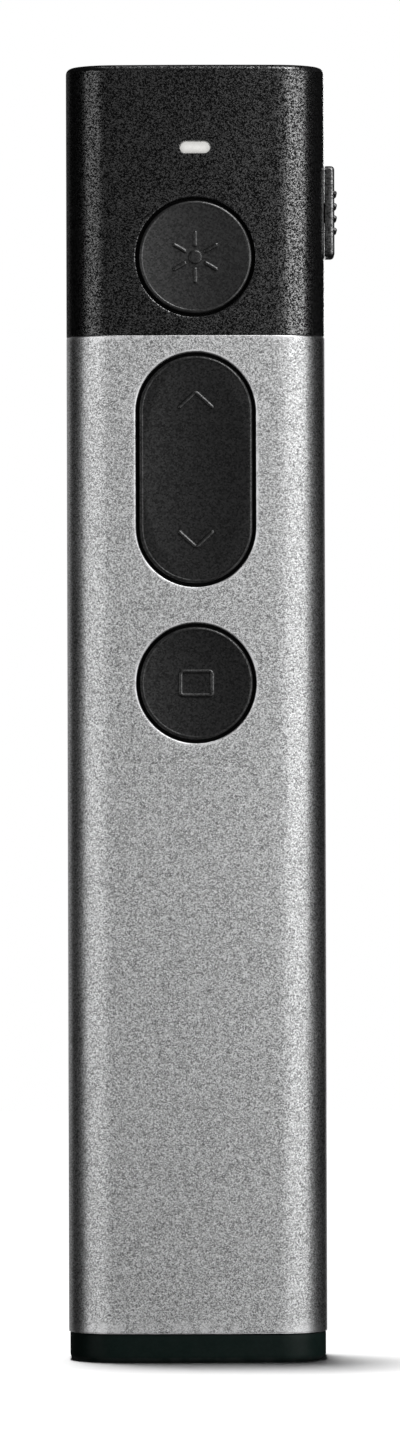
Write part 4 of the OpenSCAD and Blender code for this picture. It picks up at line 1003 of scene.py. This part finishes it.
# Stage and lights. Distances here are in metres and angles in degrees.
studio = {
    "floorSize": 0.55, "worldFill": 0.006,
    # the walls' upper and lower ends, and the dimmer part that carries them on below the floor
    "high": {"metalRig": 0.5, "blackRig": 0.28, "rimRig": 0.28}, "low": -0.05, "foot": -0.6, "footShare": 0.36,
    # how far off the walls of each rig stand
    "reach": {"metalRig": 0.7, "blackRig": 0.74, "rimRig": 0.78},
    # name: (azimuth from the front towards the right, its span, radiance)
    "metalRig": {
        "leftWall": (-53, 56, 1.03),
        "frontWall": (-8, 34, 0.61),
        "rightBridge": (18, 18, 0.93),
        "rightWall": (53, 52, 1.38),
        "rightEdge": (87, 16, 0.14),
        "backWall": (-158, 46, 0.36),
        "rightRim": (168, 22, 0.8),
    },
    "blackRig": {
        "leftStrip": (-55, 36, 0.7),
        "leftFace": (-31, 12, 0.09),
        "frontFace": (-8, 34, 0.125),
        "rightBridge": (19, 20, 0.46),
        "rightStrip": (51.5, 45, 1.95),
        "rimStrip": (-158, 46, 0.06),
    },
    "rimRig": {"headRim": (171, 16, 3.0)},
    # panels over the clicker: azimuth, elevation, distance, width, radiance
    "above": {
        "metalRig": {"keyPanel": (38, 48, 0.9, 0.55, 3.0), "roofPanel": (0, 80, 0.9, 0.7, 1.6)},
        "blackRig": {"keyPanel": (42, 48, 0.95, 0.55, 5.2), "roofPanel": (0, 80, 0.95, 0.7, 0.5)},
        "floorRig": {"floorPanel": (-152.4, 85.26, 6.0, 0.68, 315.0)},
    },
    "panelAim": 0.08,  # the height that the panels face
}


# An area light that faces the clicker from an azimuth and elevation, with its middle lifted. Its radiance L
# needs L x pi x area watts.
def softLight(name, azimuth, elevation, far, lift, width, height, radiance):
    a, e = math.radians(azimuth), math.radians(elevation)
    facing = Vector((math.sin(a) * math.cos(e), -math.cos(a) * math.cos(e), math.sin(e)))
    data = bpy.data.lights.new(name, "AREA")
    data.shape, data.size, data.size_y = "RECTANGLE", width, height
    data.energy = radiance * pi * width * height
    lamp = addObject(name, data)
    lamp.location = facing * far + Vector((0, 0, lift))
    lamp.rotation_euler = facing.to_track_quat("Z", "Y").to_euler()
    lamp.visible_camera = False
    return lamp


# Upright walls of light on a circle, each with a dimmer foot: width = 2 x far x tan(span / 2). Then the panels.
rigs = {}
for rig, far in studio["reach"].items():
    low, rigs[rig] = studio["low"], []
    wall, foot = ("", low, studio["high"][rig], 1.0), ("Foot", studio["foot"], low, studio["footShare"])
    for part, z0, z1, share in (wall, foot):
        for name, (azimuth, span, radiance) in studio[rig].items():
            width = 2 * far * math.tan(math.radians(span / 2))
            rigs[rig].append(softLight(name + part, azimuth, 0, far, (z0 + z1) / 2, width, z1 - z0, radiance * share))
for rig, panels in studio["above"].items():
    for name, (azimuth, elevation, far, width, radiance) in panels.items():
        lamp = softLight(name, azimuth, elevation, far, studio["panelAim"], width, width, radiance)
        rigs.setdefault(rig, []).append(lamp)

# The world is white to the camera and a faint fill to everything else.
world = bpy.data.worlds.new("studioWorld")
bpy.context.scene.world = world
world.use_nodes = True
sky = world.node_tree
background = sky.nodes["Background"].inputs
seen = addNode(sky, "LightPath", {}).outputs["Is Camera Ray"]
feed(sky, background["Color"], (1, 1, 1, 1))
feed(sky, background["Strength"], mapped(sky, seen, 0.0, 1.0, studio["worldFill"], 1.0, "LINEAR"))


# The floor seen from above is pale and takes the soft shadow; from below it lets the view through.
def buildFloor():
    size = studio["floorSize"]
    mesh = bpy.data.meshes.new("floor")
    mesh.from_pydata([(-size, -size, 0), (size, -size, 0), (size, size, 0), (-size, size, 0)], [], [(0, 1, 2, 3)])
    floor = addObject("floor", mesh)
    material, tree = newMaterial("paleFloor")
    shade(tree, {"Base Color": (0.9, 0.9, 0.9, 1), "Roughness": 0.9, "Specular IOR Level": 0.1})
    mix = addNode(tree, "MixShader", {
        "Fac": addNode(tree, "NewGeometry", {}).outputs["Backfacing"],
        1: tree.nodes["Principled BSDF"].outputs["BSDF"],
        2: addNode(tree, "BsdfTransparent", {}).outputs["BSDF"]})
    feed(tree, tree.nodes["Material Output"].inputs["Surface"], mix.outputs["Shader"])
    mesh.materials.append(material)
    floor.visible_diffuse = floor.visible_glossy = floor.visible_transmission = floor.visible_shadow = False
    floor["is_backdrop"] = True
    return floor


# Each rig lights only its own pieces: the blasted metal, the floor, everything else, and the head's outline.
def shareLight(floor):
    groups = {rig: bpy.data.collections.new(rig + "Lit") for rig in rigs}
    groups["floorRig"].objects.link(floor)
    for thing in bpy.context.scene.objects:
        if thing.type == "MESH" and thing is not floor:
            metal = thing.name.startswith("metalSleeve")
            groups["metalRig" if metal else "blackRig"].objects.link(thing)
        if thing.name == "headShell":
            groups["rimRig"].objects.link(thing)
    for rig, lamps in rigs.items():
        for lamp in lamps:
            lamp.light_linking.receiver_collection = groups[rig]


shareLight(buildFloor())

camera = {
    "distance": 750.0,                # from the lens to the front of the body
    "height": 59.0, "aimX": 0.35, "aimZ": 64.72,
    "frameHeight": 143.3,             # height of the picture in the plane of the front
    "roll": -0.16,                    # degrees
    "sensor": 36.0, "clip": (0.05, 20.0),  # clip in metres
}


# A long lens: focal length = sensor x distance / height of the picture.
def buildCamera():
    data = bpy.data.cameras.new("longLens")
    data.sensor_width = camera["sensor"]
    data.lens = camera["sensor"] * camera["distance"] / camera["frameHeight"]
    data.clip_start, data.clip_end = camera["clip"]
    lens = addObject("longLens", data)
    front = section["crownCentre"] - section["crown"]
    eye = Vector((camera["aimX"], front - camera["distance"], camera["height"])) * mm
    aim = Vector((camera["aimX"], front, camera["aimZ"])) * mm
    turn = (eye - aim).to_track_quat("Z", "Y").to_matrix().to_4x4()
    lens.matrix_world = Matrix.Translation(eye) @ turn @ Matrix.Rotation(math.radians(camera["roll"]), 4, "Z")
    bpy.context.scene.camera = lens


buildCamera()
bpy.context.scene.view_settings.view_transform = "Standard"
bpy.context.scene.view_settings.look = "None"
print("stage, lights and camera ready")

low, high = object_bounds()
